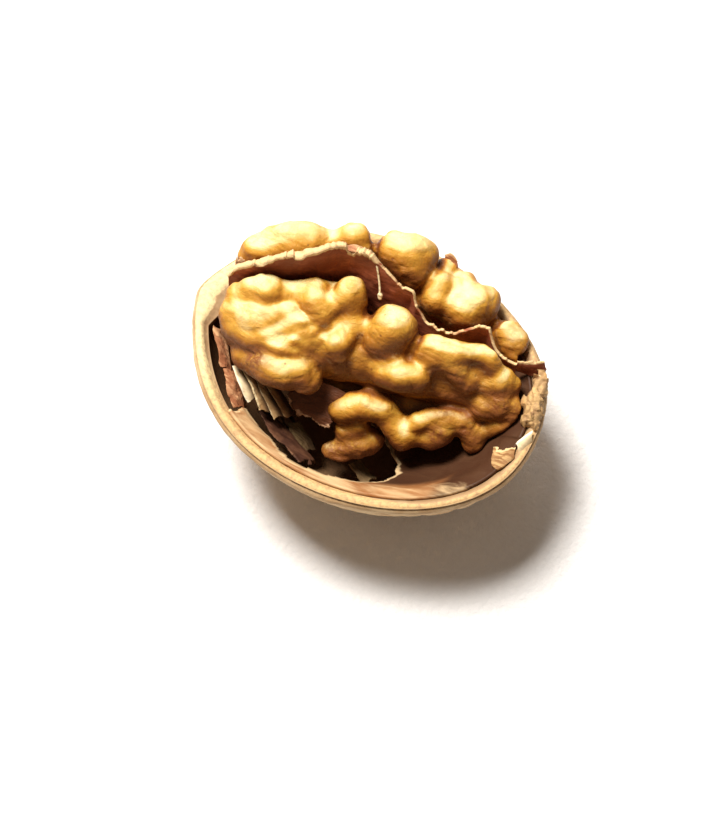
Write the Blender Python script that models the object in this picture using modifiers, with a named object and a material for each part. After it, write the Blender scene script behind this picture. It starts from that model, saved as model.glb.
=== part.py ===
"""Half a walnut, opened along its seam with the whole seed still lying in it.

Four pieces: the woody half shell, the thin lining that bends away from the
shell's wall, the papery wall that parts the seed's lobes, and the seed itself.
Metres, +Z up. The origin is the middle of the small flat spot that the shell
rests on. +X runs from the pointed tip to the stem end, and -Y is the side
where the lining shows beside the seed.
"""
import math

import bmesh
import bpy
from mathutils import Matrix, Vector, noise

MM = 0.001

# Driving dimensions of the half shell
HALF_LENGTH = 20.2 * MM
STEM_HALF_LENGTH = 19.9 * MM
HALF_WIDTH = 15.2 * MM
RIM_HEIGHT = 16.0 * MM
BOWL_DEPTH = 16.4 * MM
WALL = 1.5 * MM
WALL_AT_TIP = 3.2 * MM
TIP_FADE = 6 * MM
TIP_PINCH = 0.44
STEM_BLUNT = -0.10
AROUND = 64
GAP = 0.35 * MM

# The seam's raised band and the groove under it, measured down from the rim
BAND_DEPTH = 0.9 * MM
BAND_HEIGHT = 0.7 * MM
BAND_STANDS = 0.45 * MM
GROOVE_DEPTH = 2.3 * MM
GROOVE_HEIGHT = 0.55 * MM
GROOVE_SINKS = 0.25 * MM

# Rows of points down the bowl, in degrees below the rim's plane
BOWL_POWER = 0.93
OUTER_ROWS = (0, 1.6, 3.2, 5.2, 7.4, 9.8, 14, 20, 28, 37, 47, 57, 67)
INNER_ROWS = (0, 8, 20, 34, 50, 65)
RELIEF = 0.32 * MM
RELIEF_SIZE = 3.4 * MM
RELIEF_STRETCH = 0.45

# Broken wood on the rim at the stem end, in millimetres: (x, y, z, radius)
CRUMBS = ((14.9, 9.0, 16.2, 1.0), (16.1, 8.0, 16.7, 1.3), (17.2, 6.6, 16.6, 1.1), (18.1, 5.0, 16.6, 1.4),
          (18.8, 3.0, 16.1, 1.1), (18.9, 1.2, 15.7, 1.2), (19.0, -0.4, 15.6, 0.9))
CRUMB_VOXEL = 0.55 * MM

# The lining: (share of the bowl inside the wall, height), from its edge to its middle
LINING_THICK = 0.6 * MM
LINING_PROFILE = (
    (1.0, 15.7 * MM), (0.96, 14.4 * MM), (0.89, 12.6 * MM), (0.80, 10.7 * MM),
    (0.68, 8.6 * MM), (0.53, 6.5 * MM), (0.36, 4.9 * MM), (0.18, 4.0 * MM), (0.0, 3.7 * MM),
)
HOLE_CENTRE = Vector((-2.2, -7.0, 0)) * MM
HOLE_HALF = (9.7 * MM, 6.0 * MM)
HOLE_TURN = math.radians(-8)

# The dividing wall's torn top edge, and the line that its foot follows, in millimetres
WALL_SHEET = 0.6 * MM
WALL_SWAY = 0.5 * MM
WALL_WAVES = 9
WALL_TOP = (
    (-17.2, 1.0, 20.6), (-15.9, 1.4, 23.0), (-13.6, 2.4, 25.0), (-11.5, 3.6, 26.2),
    (-9.9, 4.4, 26.3), (-8.3, 5.6, 26.3), (-6.8, 7.3, 26.4), (-5.5, 7.9, 25.4),
    (-3.7, 8.2, 25.8), (-2.6, 7.9, 25.0), (-0.9, 7.6, 24.0), (0.7, 7.3, 23.0),
    (2.0, 7.2, 22.9), (2.9, 6.4, 21.8), (4.2, 6.0, 20.3), (5.8, 5.8, 19.9),
    (7.6, 6.4, 20.1), (8.9, 7.3, 20.6), (10.8, 8.0, 21.6), (11.5, 7.5, 20.4),
    (12.2, 7.0, 19.6), (13.3, 6.6, 18.8), (14.9, 6.8, 18.3),
)
WALL_FOOT = (
    (-15.0, 0.8, 12.2), (-10.0, 2.2, 8.4), (-4.0, 3.6, 5.6), (2.0, 4.4, 5.3),
    (8.0, 4.9, 7.4), (14.0, 5.6, 12.6),
)
WINDOW_CENTRE = Vector((-8.0, 3.2, 14.0)) * MM
WINDOW_RADIUS = 3.3 * MM
WINDOW_DEEP = 10 * MM

# The seed's folds, in millimetres: each is a chain of (x, y, z, radius)
VOXEL = 0.42 * MM
FACES_KEPT = 0.20
SEED_CORES = (
    ((-12.4, -2.0, 16.4, 3.0), (-7.0, -0.8, 16.6, 3.4), (-1.5, 0.6, 16.2, 3.2), (4.0, 1.6, 15.8, 2.8),
     (9.5, 3.0, 15.2, 2.4), (13.4, 3.6, 14.6, 2.0)),
    ((-12.6, 6.8, 17.6, 2.8), (-6.0, 9.4, 17.6, 2.7), (1.0, 10.4, 16.2, 2.8), (8.0, 10.0, 14.4, 2.5),
     (12.4, 9.0, 13.4, 2.0)),
    ((-8.0, -2.6, 12.2, 2.6), (0.0, -1.4, 10.8, 3.0), (7.0, 0.4, 10.8, 2.8), (12.4, 1.8, 12.0, 2.2)),
    ((-9.0, 5.6, 12.0, 2.6), (0.0, 7.8, 10.6, 3.0), (8.0, 8.2, 11.0, 2.4)),
    ((-13.6, 0.2, 18.3, 2.3), (-10.6, 0.8, 18.9, 2.4), (-7.2, 1.6, 19.0, 2.4), (-4.4, 2.2, 18.7, 2.2)),
    ((-13.4, -2.6, 17.5, 2.1), (-10.0, -2.6, 18.2, 2.3), (-7.0, -1.8, 18.3, 2.4), (-4.6, -0.6, 17.6, 2.1),
     (-1.8, 0.6, 17.3, 2.0), (1.6, 1.6, 17.4, 2.0)),
    ((4.5, 2.0, 16.6, 1.8), (7.5, 3.4, 17.2, 1.8), (10.5, 4.2, 16.8, 1.7), (13.0, 4.2, 15.8, 1.7)),
)
SEED_WAIST = ((-8.0, 0.5, 14.0, 2.6), (-8.0, 6.4, 14.0, 2.6))
NEAR_UPPER_FILL = (
    ((-9.6, -2.6, 19.4, 1.9), (-8.2, -1.4, 19.9, 1.9), (-6.6, -0.9, 19.7, 1.9)),
    ((-8.0, -3.0, 19.4, 1.8), (-6.2, -2.2, 19.0, 1.8), (-4.6, -1.6, 18.6, 1.7)),
)
NEAR_UPPER_FOLDS = (
    ((-14.4, -0.4, 20.2, 1.8), (-13.3, 0.5, 20.9, 2.1), (-12.2, 1.0, 21.2, 2.3), (-10.9, 1.5, 20.8, 1.9)),
    ((-9.0, 2.3, 20.9, 1.6),),
    ((-7.5, 3.1, 21.5, 1.7), (-6.9, 2.1, 21.4, 1.8), (-5.9, 1.3, 20.8, 1.8), (-5.1, 1.1, 20.2, 1.6)),
    ((-4.1, 4.7, 21.8, 1.8), (-4.3, 3.7, 21.4, 1.7), (-4.8, 3.0, 21.2, 1.6)),
    ((-3.2, 4.0, 20.8, 1.6), (-3.1, 3.1, 19.8, 1.5)),
    ((-15.1, -2.5, 19.3, 1.6), (-13.5, -2.2, 20.0, 1.7), (-11.9, -1.8, 20.6, 1.7),
     (-10.2, -1.1, 20.8, 1.5), (-9.0, -0.3, 20.9, 1.2)),
    ((-13.6, -4.2, 18.8, 1.7), (-11.9, -4.2, 19.3, 1.7), (-10.3, -4.0, 19.8, 1.6), (-8.5, -3.7, 20.0, 1.4)),
    ((-12.4, -5.2, 17.3, 1.6), (-10.5, -5.6, 17.5, 1.8), (-8.5, -5.7, 18.2, 2),
     (-6.7, -5.3, 18.3, 2), (-5.5, -4.6, 18.3, 1.9), (-4.6, -4.8, 17.6, 1.7)),
    ((-2.6, 2.5, 20.0, 1.5), (-2.8, 1.0, 19.9, 1.4), (-3.0, -0.7, 20.0, 1.5),
     (-2.4, -1.4, 19.0, 1.2), (-1.9, -2.0, 17.6, 0.75)),
    ((-1.6, 1.9, 19.9, 1.1), (-0.7, 2.5, 20.0, 1.1)),
    ((1.7, 3.4, 20.4, 2.7),),
    ((-6.2, 4.1, 20.4, 1.4),),
    ((1.2, 1.9, 19.8, 1.9), (2.3, 1.7, 18.9, 1.9)),
    ((2.7, -0.5, 17.9, 1.6), (4.2, -0.1, 18.2, 1.9), (5.8, 0.5, 18.0, 1.8)),
    ((5.6, 2.9, 19.3, 1.3), (6.4, 2.3, 18.8, 1.3)),
    ((6.0, 3.5, 20.0, 1.4), (7.1, 3.7, 20.2, 1.5), (8.5, 4.2, 20.0, 1.4), (9.9, 4.7, 19.8, 1.3)),
    ((11.2, 5.4, 19.4, 1.4), (12.0, 5.5, 19.2, 1.4)),
    ((7.0, 2.8, 19.4, 1.3), (8.4, 2.9, 19.1, 1.3), (9.9, 2.9, 18.5, 1.4), (10.8, 2.7, 17.8, 1.3)),
    ((12.8, 5.2, 18.3, 1.3), (13.9, 5.1, 17.7, 1.2)),
    ((11.1, 4.4, 17.6, 1.5),),
    ((13.0, 3.5, 17.0, 1.2), (14.1, 4.0, 17.3, 1.4), (15.1, 4.7, 16.7, 1.2)),
    ((13.5, 2.0, 15.2, 1.6), (14.9, 2.8, 15.3, 1.9), (16.3, 2.9, 14.6, 1.8),
     (16.3, 2.1, 13.6, 1.8), (15.2, 1.4, 12.8, 1.8)),
)
NEAR_LOWER_FOLDS = (
    ((-0.7, -5.1, 13.6, 1.5), (0.4, -4.3, 14.2, 1.6), (1.9, -3.6, 14.6, 1.7), (3.6, -3.1, 14.3, 1.6),
     (4.8, -3.5, 13.6, 1.4), (6.5, -4.4, 12.4, 1.5), (6.8, -4.6, 12.0, 1.4)),
    ((7.1, -3.3, 13.0, 1.2), (7.9, -2.5, 14.0, 1.2), (9.1, -1.5, 14.2, 1.2),
     (10.5, -0.6, 14.0, 1.2), (11.4, -0.4, 13.8, 1.2)),
    ((10.3, -2.1, 13.1, 1.5),),
    ((12.3, -0.2, 13.2, 1.4), (13.5, -0.6, 12.4, 1.5), (13.8, -1.0, 11.9, 1.4)),
    ((0.3, -8.4, 9.3, 1.4), (1.8, -7.1, 10.2, 1.5), (3.7, -5.6, 10.5, 1.5)),
    ((0.7, -6.2, 11.5, 1.2), (1.8, -5.2, 12.0, 1.4)),
)
FAR_UPPER_FOLDS = (
    ((-16.0, 4.3, 19.6, 1.5), (-15.5, 5.2, 20.4, 1.8), (-14.2, 6.3, 21.0, 1.9),
     (-12.6, 7.4, 21.4, 1.9), (-10.9, 8.3, 21.4, 1.9), (-9.5, 8.8, 21.0, 1.6)),
    ((-14.2, 5.4, 20.5, 1.8), (-12.4, 6.5, 20.8, 1.9), (-10.4, 7.4, 21.0, 1.8)),
    ((-7.5, 9.9, 21.1, 1.7), (-6.7, 10.5, 21.5, 1.9), (-5.9, 10.0, 21.0, 1.7)),
    ((-1.7, 11.1, 20.8, 2.6),),
    ((0.3, 12.4, 20.6, 2.1), (0.3, 10.8, 20.2, 2)),
    ((-0.5, 9.7, 19.9, 1.8),),
    ((3.5, 10.9, 19.0, 1.7), (3.9, 9.2, 18.6, 1.7)),
    ((6.7, 9.7, 18.3, 2), (7.6, 10.9, 18.5, 2.1), (8.5, 11.6, 18.1, 1.8)),
    ((5.6, 11.5, 18.3, 1.6),),
    ((4.9, 10.3, 17.4, 1.9),),
    ((3.3, 13.2, 18.4, 1.3),),
    ((5.5, 12.8, 17.8, 1.3),),
    ((11.8, 10.3, 16.4, 1.4), (13.2, 9.4, 16.0, 1.7), (14.0, 8.5, 15.4, 1.5)),
)

SHELL_COLOUR = (0.62, 0.42, 0.22, 1)
LINING_COLOUR = (0.58, 0.38, 0.24, 1)
WALL_COLOUR = (0.36, 0.17, 0.09, 1)
SEED_COLOUR = (0.72, 0.46, 0.14, 1)


def clear_scene():
    """Remove every object that the scene starts with."""
    for old in list(bpy.data.objects):
        bpy.data.objects.remove(old)


def new_collection(name):
    """A collection linked to the scene."""
    made = bpy.data.collections.new(name)
    bpy.context.scene.collection.children.link(made)
    return made


def new_material(name, colour, roughness):
    """A Principled material of one colour."""
    made = bpy.data.materials.new(name)
    made.use_nodes = True
    shader = made.node_tree.nodes["Principled BSDF"]
    shader.inputs["Base Color"].default_value = colour
    shader.inputs["Roughness"].default_value = roughness
    shader.inputs["Metallic"].default_value = 0
    return made


def add_object(name, mesh, collection, material=None):
    """An object that shows the mesh, shaded smooth."""
    mesh.shade_smooth()
    made = bpy.data.objects.new(name, mesh)
    collection.objects.link(made)
    if material:
        mesh.materials.append(material)
    else:
        made.hide_render = True
        made.display_type = "WIRE"
    return made


def to_mesh(name, bm):
    """The finished mesh of a bmesh, which is freed."""
    mesh = bpy.data.meshes.new(name)
    bm.to_mesh(mesh)
    bm.free()
    return mesh


def add_boolean(target, cutter, operation):
    """Cut or join target with cutter."""
    step = target.modifiers.new(operation.title(), "BOOLEAN")
    step.operation = operation
    step.object = cutter


def add_solidify(target, thickness, offset=-1):
    """Give an open surface its thickness: inwards from its outer face, or to both sides at offset 0."""
    step = target.modifiers.new("Solidify", "SOLIDIFY")
    step.thickness = thickness
    step.offset = offset
    step.use_even_offset = True


def add_fuse(target, voxel):
    """Fuse overlapping balls into one rounded body."""
    step = target.modifiers.new("Fuse", "REMESH")
    step.mode = "VOXEL"
    step.voxel_size = voxel
    step.use_smooth_shade = True


def cylinder_mesh(name, matrix):
    """A cylinder of unit radius and length along Z, placed and sized by the matrix."""
    bm = bmesh.new()
    bmesh.ops.create_cone(bm, cap_ends=True, segments=32, radius1=1, radius2=1, depth=1, matrix=matrix)
    return to_mesh(name, bm)


def plan_point(angle, ring):
    """A point of the plan at an angle from +X, at a share of the rim. The tip's point fades inwards."""
    along, across = math.cos(angle), math.sin(angle)
    half, bend = (HALF_LENGTH, TIP_PINCH) if along < 0 else (STEM_HALF_LENGTH, STEM_BLUNT)
    power = 1 + bend * along ** 2 * ring ** 2
    return Vector((half * ring * along, HALF_WIDTH * ring * math.copysign(abs(across) ** power, across), 0))


def turned_mesh(name, profile, reshape):
    """Turn a profile round Z, then move each of its points by reshape(angle, ring, height, through).

    The profile's points are (share of the plan, height, share of the wall's thickness). The last is 0 where
    it is left out.
    """
    bm = bmesh.new()
    layer = bm.verts.layers.float.new("through")
    points = []
    for ring, height, through in ((*point, 0)[:3] for point in profile):
        points.append(bm.verts.new((ring, 0, height)))
        points[-1][layer] = through
    edges = [bm.edges.new(pair) for pair in zip(points, points[1:])]
    bmesh.ops.spin(bm, geom=points + edges, axis=(0, 0, 1), cent=(0, 0, 0), angle=math.tau, steps=AROUND,
                   use_merge=True)
    for vert in bm.verts:
        ring = math.hypot(vert.co.x, vert.co.y)
        vert.co = reshape(math.atan2(vert.co.y, vert.co.x), ring, vert.co.z, vert[layer])
    bmesh.ops.remove_doubles(bm, verts=bm.verts, dist=1e-6)
    face_out(bm)
    return to_mesh(name, bm)


def face_out(bm):
    """Turn the faces outwards: on an open bowl, away from the middle of its opening."""
    bmesh.ops.recalc_face_normals(bm, faces=bm.faces)
    middle = Vector((0, 0, RIM_HEIGHT))
    closed = not any(edge.is_boundary for edge in bm.edges)
    if not closed and sum(face.normal.dot(face.calc_center_median() - middle) for face in bm.faces) < 0:
        bmesh.ops.reverse_faces(bm, faces=bm.faces)


def hump(distance, width):
    """A smooth hump of height 1 and the given half width."""
    return math.exp(-(distance / width) ** 2)


def tip_share(place):
    """How far a point of the rim lies towards the tip, from 0 to 1. The near side thins again soon."""
    near = min(1, max(0, place.y + 3.6 * MM) / (2.4 * MM))
    return near * min(1, max(0, -place.x / HALF_LENGTH - 0.80) / 0.12)


def outer_relief(place, height):
    """How far the shell's outer face stands out: the seam's band and groove, and shallow wrinkles."""
    depth = RIM_HEIGHT - height
    band = BAND_STANDS * hump(depth - BAND_DEPTH, BAND_HEIGHT)
    groove = GROOVE_SINKS * hump(depth - GROOVE_DEPTH, GROOVE_HEIGHT)
    stretched = Vector((place.x * RELIEF_STRETCH, place.y, height)) / RELIEF_SIZE
    fade = min(1, max(0, depth / (3 * MM) - 0.8)) * min(1, height / (2 * MM))
    return band - groove + RELIEF * fade * noise.noise(stretched)


def shell_point(angle, ring, height, through):
    """The shell's outer face, or its inner one at through 1: the wall is thicker at the tip's rim."""
    place = plan_point(angle, ring)
    outward = place.normalized() if ring > 0.01 else Vector()
    sine = (RIM_HEIGHT - height) / BOWL_DEPTH
    fade = max(0, 1 - (RIM_HEIGHT - height) / TIP_FADE)
    wall = WALL + (WALL_AT_TIP - WALL) * tip_share(place) * fade
    inward = through * wall * math.sqrt(1 - sine ** 2)
    out = (1 - through) * outer_relief(place, height) - inward
    return place + outward * out + Vector((0, 0, height + through * WALL * sine))


def make_crumbs(helpers, name, extra):
    """A rough ridge of broken wood along the rim's stem end, with its lumps made larger by extra."""
    crumbs = add_object(name, chain_mesh(name, (CRUMBS,), extra), helpers)
    add_fuse(crumbs, CRUMB_VOXEL)
    return crumbs


def bowl_row(degrees):
    """The shell's (share of the plan, height) at an angle below the rim's plane."""
    angle = math.radians(degrees)
    return math.cos(angle) ** BOWL_POWER, RIM_HEIGHT - BOWL_DEPTH * math.sin(angle)


def make_shell(collection, helpers, material):
    """The woody half shell: a turned bowl with a flat spot under it, and broken wood on its stem end."""
    flat = math.degrees(math.asin(RIM_HEIGHT / BOWL_DEPTH))
    outer = [(0.0, 0.0)] + [bowl_row(row) for row in (flat, *reversed(OUTER_ROWS))]
    inner = [(*bowl_row(row), 1) for row in (*INNER_ROWS, flat)] + [(0.0, 0.0, 1)]
    mesh = turned_mesh("shell_half", outer + inner, shell_point)
    shell = add_object("shell_half", mesh, collection, material)
    add_boolean(shell, make_crumbs(helpers, "crumbs", 0), "UNION")
    return shell


def inside_wall(angle, ring):
    """A point of the plan at a share of the space inside the shell's wall, less the gap to it."""
    edge = plan_point(angle, 1)
    wall = WALL + (WALL_AT_TIP - WALL) * tip_share(edge)
    return (edge - edge.normalized() * (wall + GAP) * 1.06) * ring


def lining_point(angle, ring, height, _through):
    """The lining: a shallower bowl inside the shell, with slow waves in it."""
    place = inside_wall(angle, ring)
    wave = 0.2 * MM * noise.noise(place / (6 * MM) + Vector((4, 2, 0)))
    return place + Vector((0, 0, height + wave * min(1, (1 - ring) * 4)))


def make_lining(collection, helpers, material):
    """The thin lining, with the large hole that opens beside the seed, and cut back under the broken wood."""
    lining = add_object("shell_lining", turned_mesh("shell_lining", LINING_PROFILE, lining_point),
                        collection, material)
    add_solidify(lining, LINING_THICK)
    turned = Matrix.Translation(HOLE_CENTRE) @ Matrix.Rotation(HOLE_TURN, 4, "Z")
    hole = cylinder_mesh("lining_hole", turned @ Matrix.Diagonal((*HOLE_HALF, 2 * RIM_HEIGHT, 1)))
    add_boolean(lining, add_object("lining_hole", hole, helpers), "DIFFERENCE")
    add_boolean(lining, make_crumbs(helpers, "crumb_room", GAP), "DIFFERENCE")
    return lining


def along_chain(points, spacing):
    """Positions and radii along a chain of (x, y, z, radius), a short step apart."""
    for first, second in zip(points, points[1:]):
        start, end = Vector(first[:3]), Vector(second[:3])
        steps = max(1, math.ceil((end - start).length / spacing))
        for step in range(steps + 1):
            share = step / steps
            yield start.lerp(end, share) * MM, (first[3] + (second[3] - first[3]) * share) * MM


def chain_mesh(name, chains, extra=0.0):
    """Overlapping balls along chains of (x, y, z, radius) in millimetres, to be fused by a voxel remesh."""
    bm = bmesh.new()
    for chain in chains:
        for place, radius in along_chain(chain, spacing=0.7):
            matrix = Matrix.Translation(place)
            bmesh.ops.create_icosphere(bm, subdivisions=2, radius=radius + extra, matrix=matrix)
    return to_mesh(name, bm)


def make_seed(collection, material, cutters):
    """The seed: rounded folds on four lobes, parted by the dividing wall but for a waist."""
    folds = SEED_CORES + (SEED_WAIST,) + NEAR_UPPER_FILL
    folds += NEAR_UPPER_FOLDS + NEAR_LOWER_FOLDS + FAR_UPPER_FOLDS
    seed = add_object("kernel", chain_mesh("kernel", folds), collection, material)
    add_fuse(seed, VOXEL)
    soften = seed.modifiers.new("Soften", "SMOOTH")
    soften.factor = 0.5
    soften.iterations = 2
    thin = seed.modifiers.new("Thin", "DECIMATE")
    thin.ratio = FACES_KEPT
    for cutter, operation in cutters:
        add_boolean(seed, cutter, operation)
    return seed


def at(points, share):
    """A point at a share of the way along a list of points, by x."""
    x = points[0][0] + (points[-1][0] - points[0][0]) * share
    start, end = next((pair for pair in zip(points, points[1:]) if x <= pair[1][0]), points[-2:])
    return Vector(start).lerp(Vector(end), (x - start[0]) / (end[0] - start[0]))


def divider_point(along, up):
    """A point of the dividing wall at a share of its length and of its height, with a slow sway."""
    foot, top = at(WALL_FOOT, along), at(WALL_TOP, along)
    sway = WALL_SWAY * math.sin(math.pi * min(1, max(0, up))) * math.sin(WALL_WAVES * along)
    return foot.lerp(top, up) * MM + Vector((0, sway, 0))


def divider_mesh(name, ends=0.0, low=0.0, high=1.0):
    """The dividing wall's middle surface between two shares of its height, longer by a share at both ends."""
    bm = bmesh.new()
    bmesh.ops.create_grid(bm, x_segments=46, y_segments=round(7 * (high - low)), size=0.5)
    for vert in bm.verts:
        along = 0.5 + vert.co.x * (1 + 2 * ends)
        vert.co = divider_point(along, low + (high - low) * (vert.co.y + 0.5))
    return to_mesh(name, bm)


def add_window(target, helpers, name, radius):
    """Cut or fill the window that the seed's waist passes through, a cylinder along Y."""
    turned = Matrix.Translation(WINDOW_CENTRE) @ Matrix.Rotation(math.pi / 2, 4, "X")
    mesh = cylinder_mesh(name, turned @ Matrix.Diagonal((radius, radius, WINDOW_DEEP, 1)))
    add_boolean(target, add_object(name, mesh, helpers), "DIFFERENCE")


def make_divider(collection, helpers, material, space):
    """The papery dividing wall, with a window for the seed's waist. Its foot follows the lining."""
    divider = add_object("dividing_wall", divider_mesh("dividing_wall"), collection, material)
    add_solidify(divider, WALL_SHEET, offset=0)
    add_boolean(divider, space, "INTERSECT")
    add_window(divider, helpers, "wall_window", WINDOW_RADIUS)
    return divider


def chamber_point(angle, ring, height, _through):
    """The space that the seed may fill: the lining's inner face less a gap, then straight up past the rim."""
    return inside_wall(angle, ring) + Vector((0, 0, height))


def make_chamber(helpers):
    """The closed space above the lining, which the seed stays inside."""
    inner = LINING_THICK + GAP + 0.2 * MM
    profile = [(0.0, 32 * MM), (1.1, 32 * MM), (1.1, 18.5 * MM), (0.96, 17.0 * MM)]
    profile += [(max(0.0, ring - 0.06), height + inner) for ring, height in LINING_PROFILE]
    mesh = turned_mesh("seed_space", profile, chamber_point)
    return add_object("seed_space", mesh, helpers)


def make_slot(helpers):
    """What parts the seed's lobes: the dividing wall made thicker and larger, less a smaller window."""
    slot = add_object("seed_slot", divider_mesh("seed_slot", ends=0.04, low=-0.2, high=1.4), helpers)
    add_solidify(slot, WALL_SHEET + 2 * GAP, offset=0)
    add_window(slot, helpers, "slot_window", WINDOW_RADIUS - GAP)
    return slot


def main():
    """Build the four pieces."""
    clear_scene()
    pieces = new_collection("Walnut")
    helpers = new_collection("Helpers")
    wood = new_material("shell_wood", SHELL_COLOUR, 0.7)
    skin = new_material("lining_skin", LINING_COLOUR, 0.65)
    paper = new_material("dividing_paper", WALL_COLOUR, 0.6)
    seed_skin = new_material("seed_skin", SEED_COLOUR, 0.38)
    make_shell(pieces, helpers, wood)
    make_lining(pieces, helpers, skin)
    space = make_chamber(helpers)
    make_divider(pieces, helpers, paper, space)
    make_seed(pieces, seed_skin, ((space, "INTERSECT"), (make_slot(helpers), "DIFFERENCE")))


main()
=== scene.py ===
"""Half a walnut in its lower shell, seen from above at a slant, on a plain pale floor.

The seed is a solid worked out from a field of rounded folds. The shell, the lining, the dividing wall and
the torn scraps of tissue are grids worked out from formulas. Every length in the tables is in millimetres.
"""
from __future__ import annotations

import logging
import math
from dataclasses import dataclass, field
from enum import Enum

import bpy
import numpy as np
from mathutils import Matrix, Vector

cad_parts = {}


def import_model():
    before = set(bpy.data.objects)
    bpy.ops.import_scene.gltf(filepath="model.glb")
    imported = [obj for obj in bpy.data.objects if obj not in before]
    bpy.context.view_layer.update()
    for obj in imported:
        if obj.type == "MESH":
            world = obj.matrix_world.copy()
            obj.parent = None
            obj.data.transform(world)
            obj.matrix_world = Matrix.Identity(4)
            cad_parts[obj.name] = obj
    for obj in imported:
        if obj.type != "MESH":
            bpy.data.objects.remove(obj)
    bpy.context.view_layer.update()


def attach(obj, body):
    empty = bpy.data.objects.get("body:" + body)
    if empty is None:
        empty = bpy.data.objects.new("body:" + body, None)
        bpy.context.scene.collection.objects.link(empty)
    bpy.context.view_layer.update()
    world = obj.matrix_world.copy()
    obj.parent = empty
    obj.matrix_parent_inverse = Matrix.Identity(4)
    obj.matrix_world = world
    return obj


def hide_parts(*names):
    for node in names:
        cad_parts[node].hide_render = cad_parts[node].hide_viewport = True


log = logging.getLogger("walnut")

MM = 0.001
Array = np.ndarray
Place = tuple[float, float, float]
Colour = tuple[float, float, float, float]
Chain = tuple[tuple[float, float, float, float], ...]
Patches = tuple[tuple[float, float, float, float, float], ...]

# The half shell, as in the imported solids
HALF_LENGTH = 20.2
STEM_HALF_LENGTH = 19.9
HALF_WIDTH = 15.2
RIM_HEIGHT = 16.0
BOWL_DEPTH = 16.4
BOWL_POWER = 0.93
WALL = 1.5
WALL_AT_TIP = 3.2
TIP_FADE = 6.0
TIP_PINCH = 0.44
STEM_BLUNT = -0.10
GAP = 0.35
LINING_INSET = 1.06
LINING_PROFILE = (
    (1.0, 15.7), (0.96, 14.4), (0.89, 12.6), (0.80, 10.7), (0.68, 8.6), (0.53, 6.5), (0.36, 4.9), (0.18, 4.0),
    (0.0, 3.7),
)

# The dividing wall: its torn top edge and its foot
WALL_TOP = (
    (-17.2, 1.0, 20.6), (-15.9, 1.4, 23.0), (-13.6, 2.4, 25.0), (-11.5, 3.6, 26.2),
    (-9.9, 4.4, 26.3), (-8.3, 5.6, 26.3), (-6.8, 7.3, 26.4), (-5.5, 7.9, 25.4),
    (-3.7, 8.2, 25.8), (-2.6, 7.9, 25.0), (-0.9, 7.6, 24.0), (0.7, 7.3, 23.0),
    (2.0, 7.2, 22.9), (2.9, 6.4, 21.8), (4.2, 6.0, 20.3), (5.8, 5.8, 19.9),
    (7.6, 6.4, 20.1), (8.9, 7.3, 20.6), (10.8, 8.0, 21.6), (11.5, 7.5, 20.4),
    (12.2, 7.0, 19.6), (13.3, 6.6, 18.8), (14.9, 6.8, 18.3),
)
WALL_FOOT = (
    (-17.2, 0.5, 13.0), (-15.0, 0.8, 12.2), (-10.0, 2.2, 8.4), (-4.0, 3.6, 5.6), (2.0, 4.4, 5.3),
    (8.0, 4.9, 7.4), (14.9, 5.6, 12.8),
)
WALL_START = -17.2
WALL_SPAN = 32.1
WALL_SWAY = 0.5
WALL_SWAY_TURNS = 9

# Where the seed's lobes join through the wall: x and z, and the radii of the wall's window and of the waist
WAIST_X = -8.0
WAIST_Z = 14.0
WINDOW_RADIUS = 3.3
WAIST_RADIUS = 2.9

# The seed's folds: each is a chain of (x, y, z, radius)
SEED_CORES: tuple[Chain, ...] = (
    ((-12.4, -2.0, 16.4, 3.0), (-7.0, -0.8, 16.6, 3.4), (-1.5, 0.6, 16.2, 3.2), (4.0, 1.6, 15.8, 2.8),
     (9.5, 3.0, 15.2, 2.4), (13.4, 3.6, 14.6, 2.0)),
    ((-12.6, 6.8, 17.6, 2.8), (-6.0, 9.4, 17.6, 2.7), (1.0, 10.4, 16.2, 2.8), (8.0, 10.0, 14.4, 2.5),
     (12.4, 9.0, 13.4, 2.0)),
    ((-8.0, -2.6, 12.2, 2.6), (0.0, -1.4, 10.8, 3.0), (7.0, 0.4, 10.8, 2.8), (12.4, 1.8, 12.0, 2.2)),
    ((-9.0, 5.6, 12.0, 2.6), (0.0, 7.8, 10.6, 3.0), (8.0, 8.2, 11.0, 2.4)),
    ((-13.6, 0.2, 18.3, 2.3), (-10.6, 0.8, 18.9, 2.4), (-7.2, 1.6, 19.0, 2.4), (-4.4, 2.2, 18.7, 2.2)),
    ((-13.4, -2.6, 17.5, 2.1), (-10.0, -2.6, 18.2, 2.3), (-7.0, -1.8, 18.3, 2.4), (-4.6, -0.6, 17.6, 2.1),
     (-1.8, 0.6, 17.3, 2.0), (1.6, 1.6, 17.4, 2.0)),
    ((4.5, 2.0, 16.6, 1.8), (7.5, 3.4, 17.2, 1.8), (10.5, 4.2, 16.8, 1.7), (13.0, 4.2, 15.8, 1.7)),
)
SEED_WAIST: Chain = ((-8.0, 0.5, 14.0, 2.6), (-8.0, 6.4, 14.0, 2.6))
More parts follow.
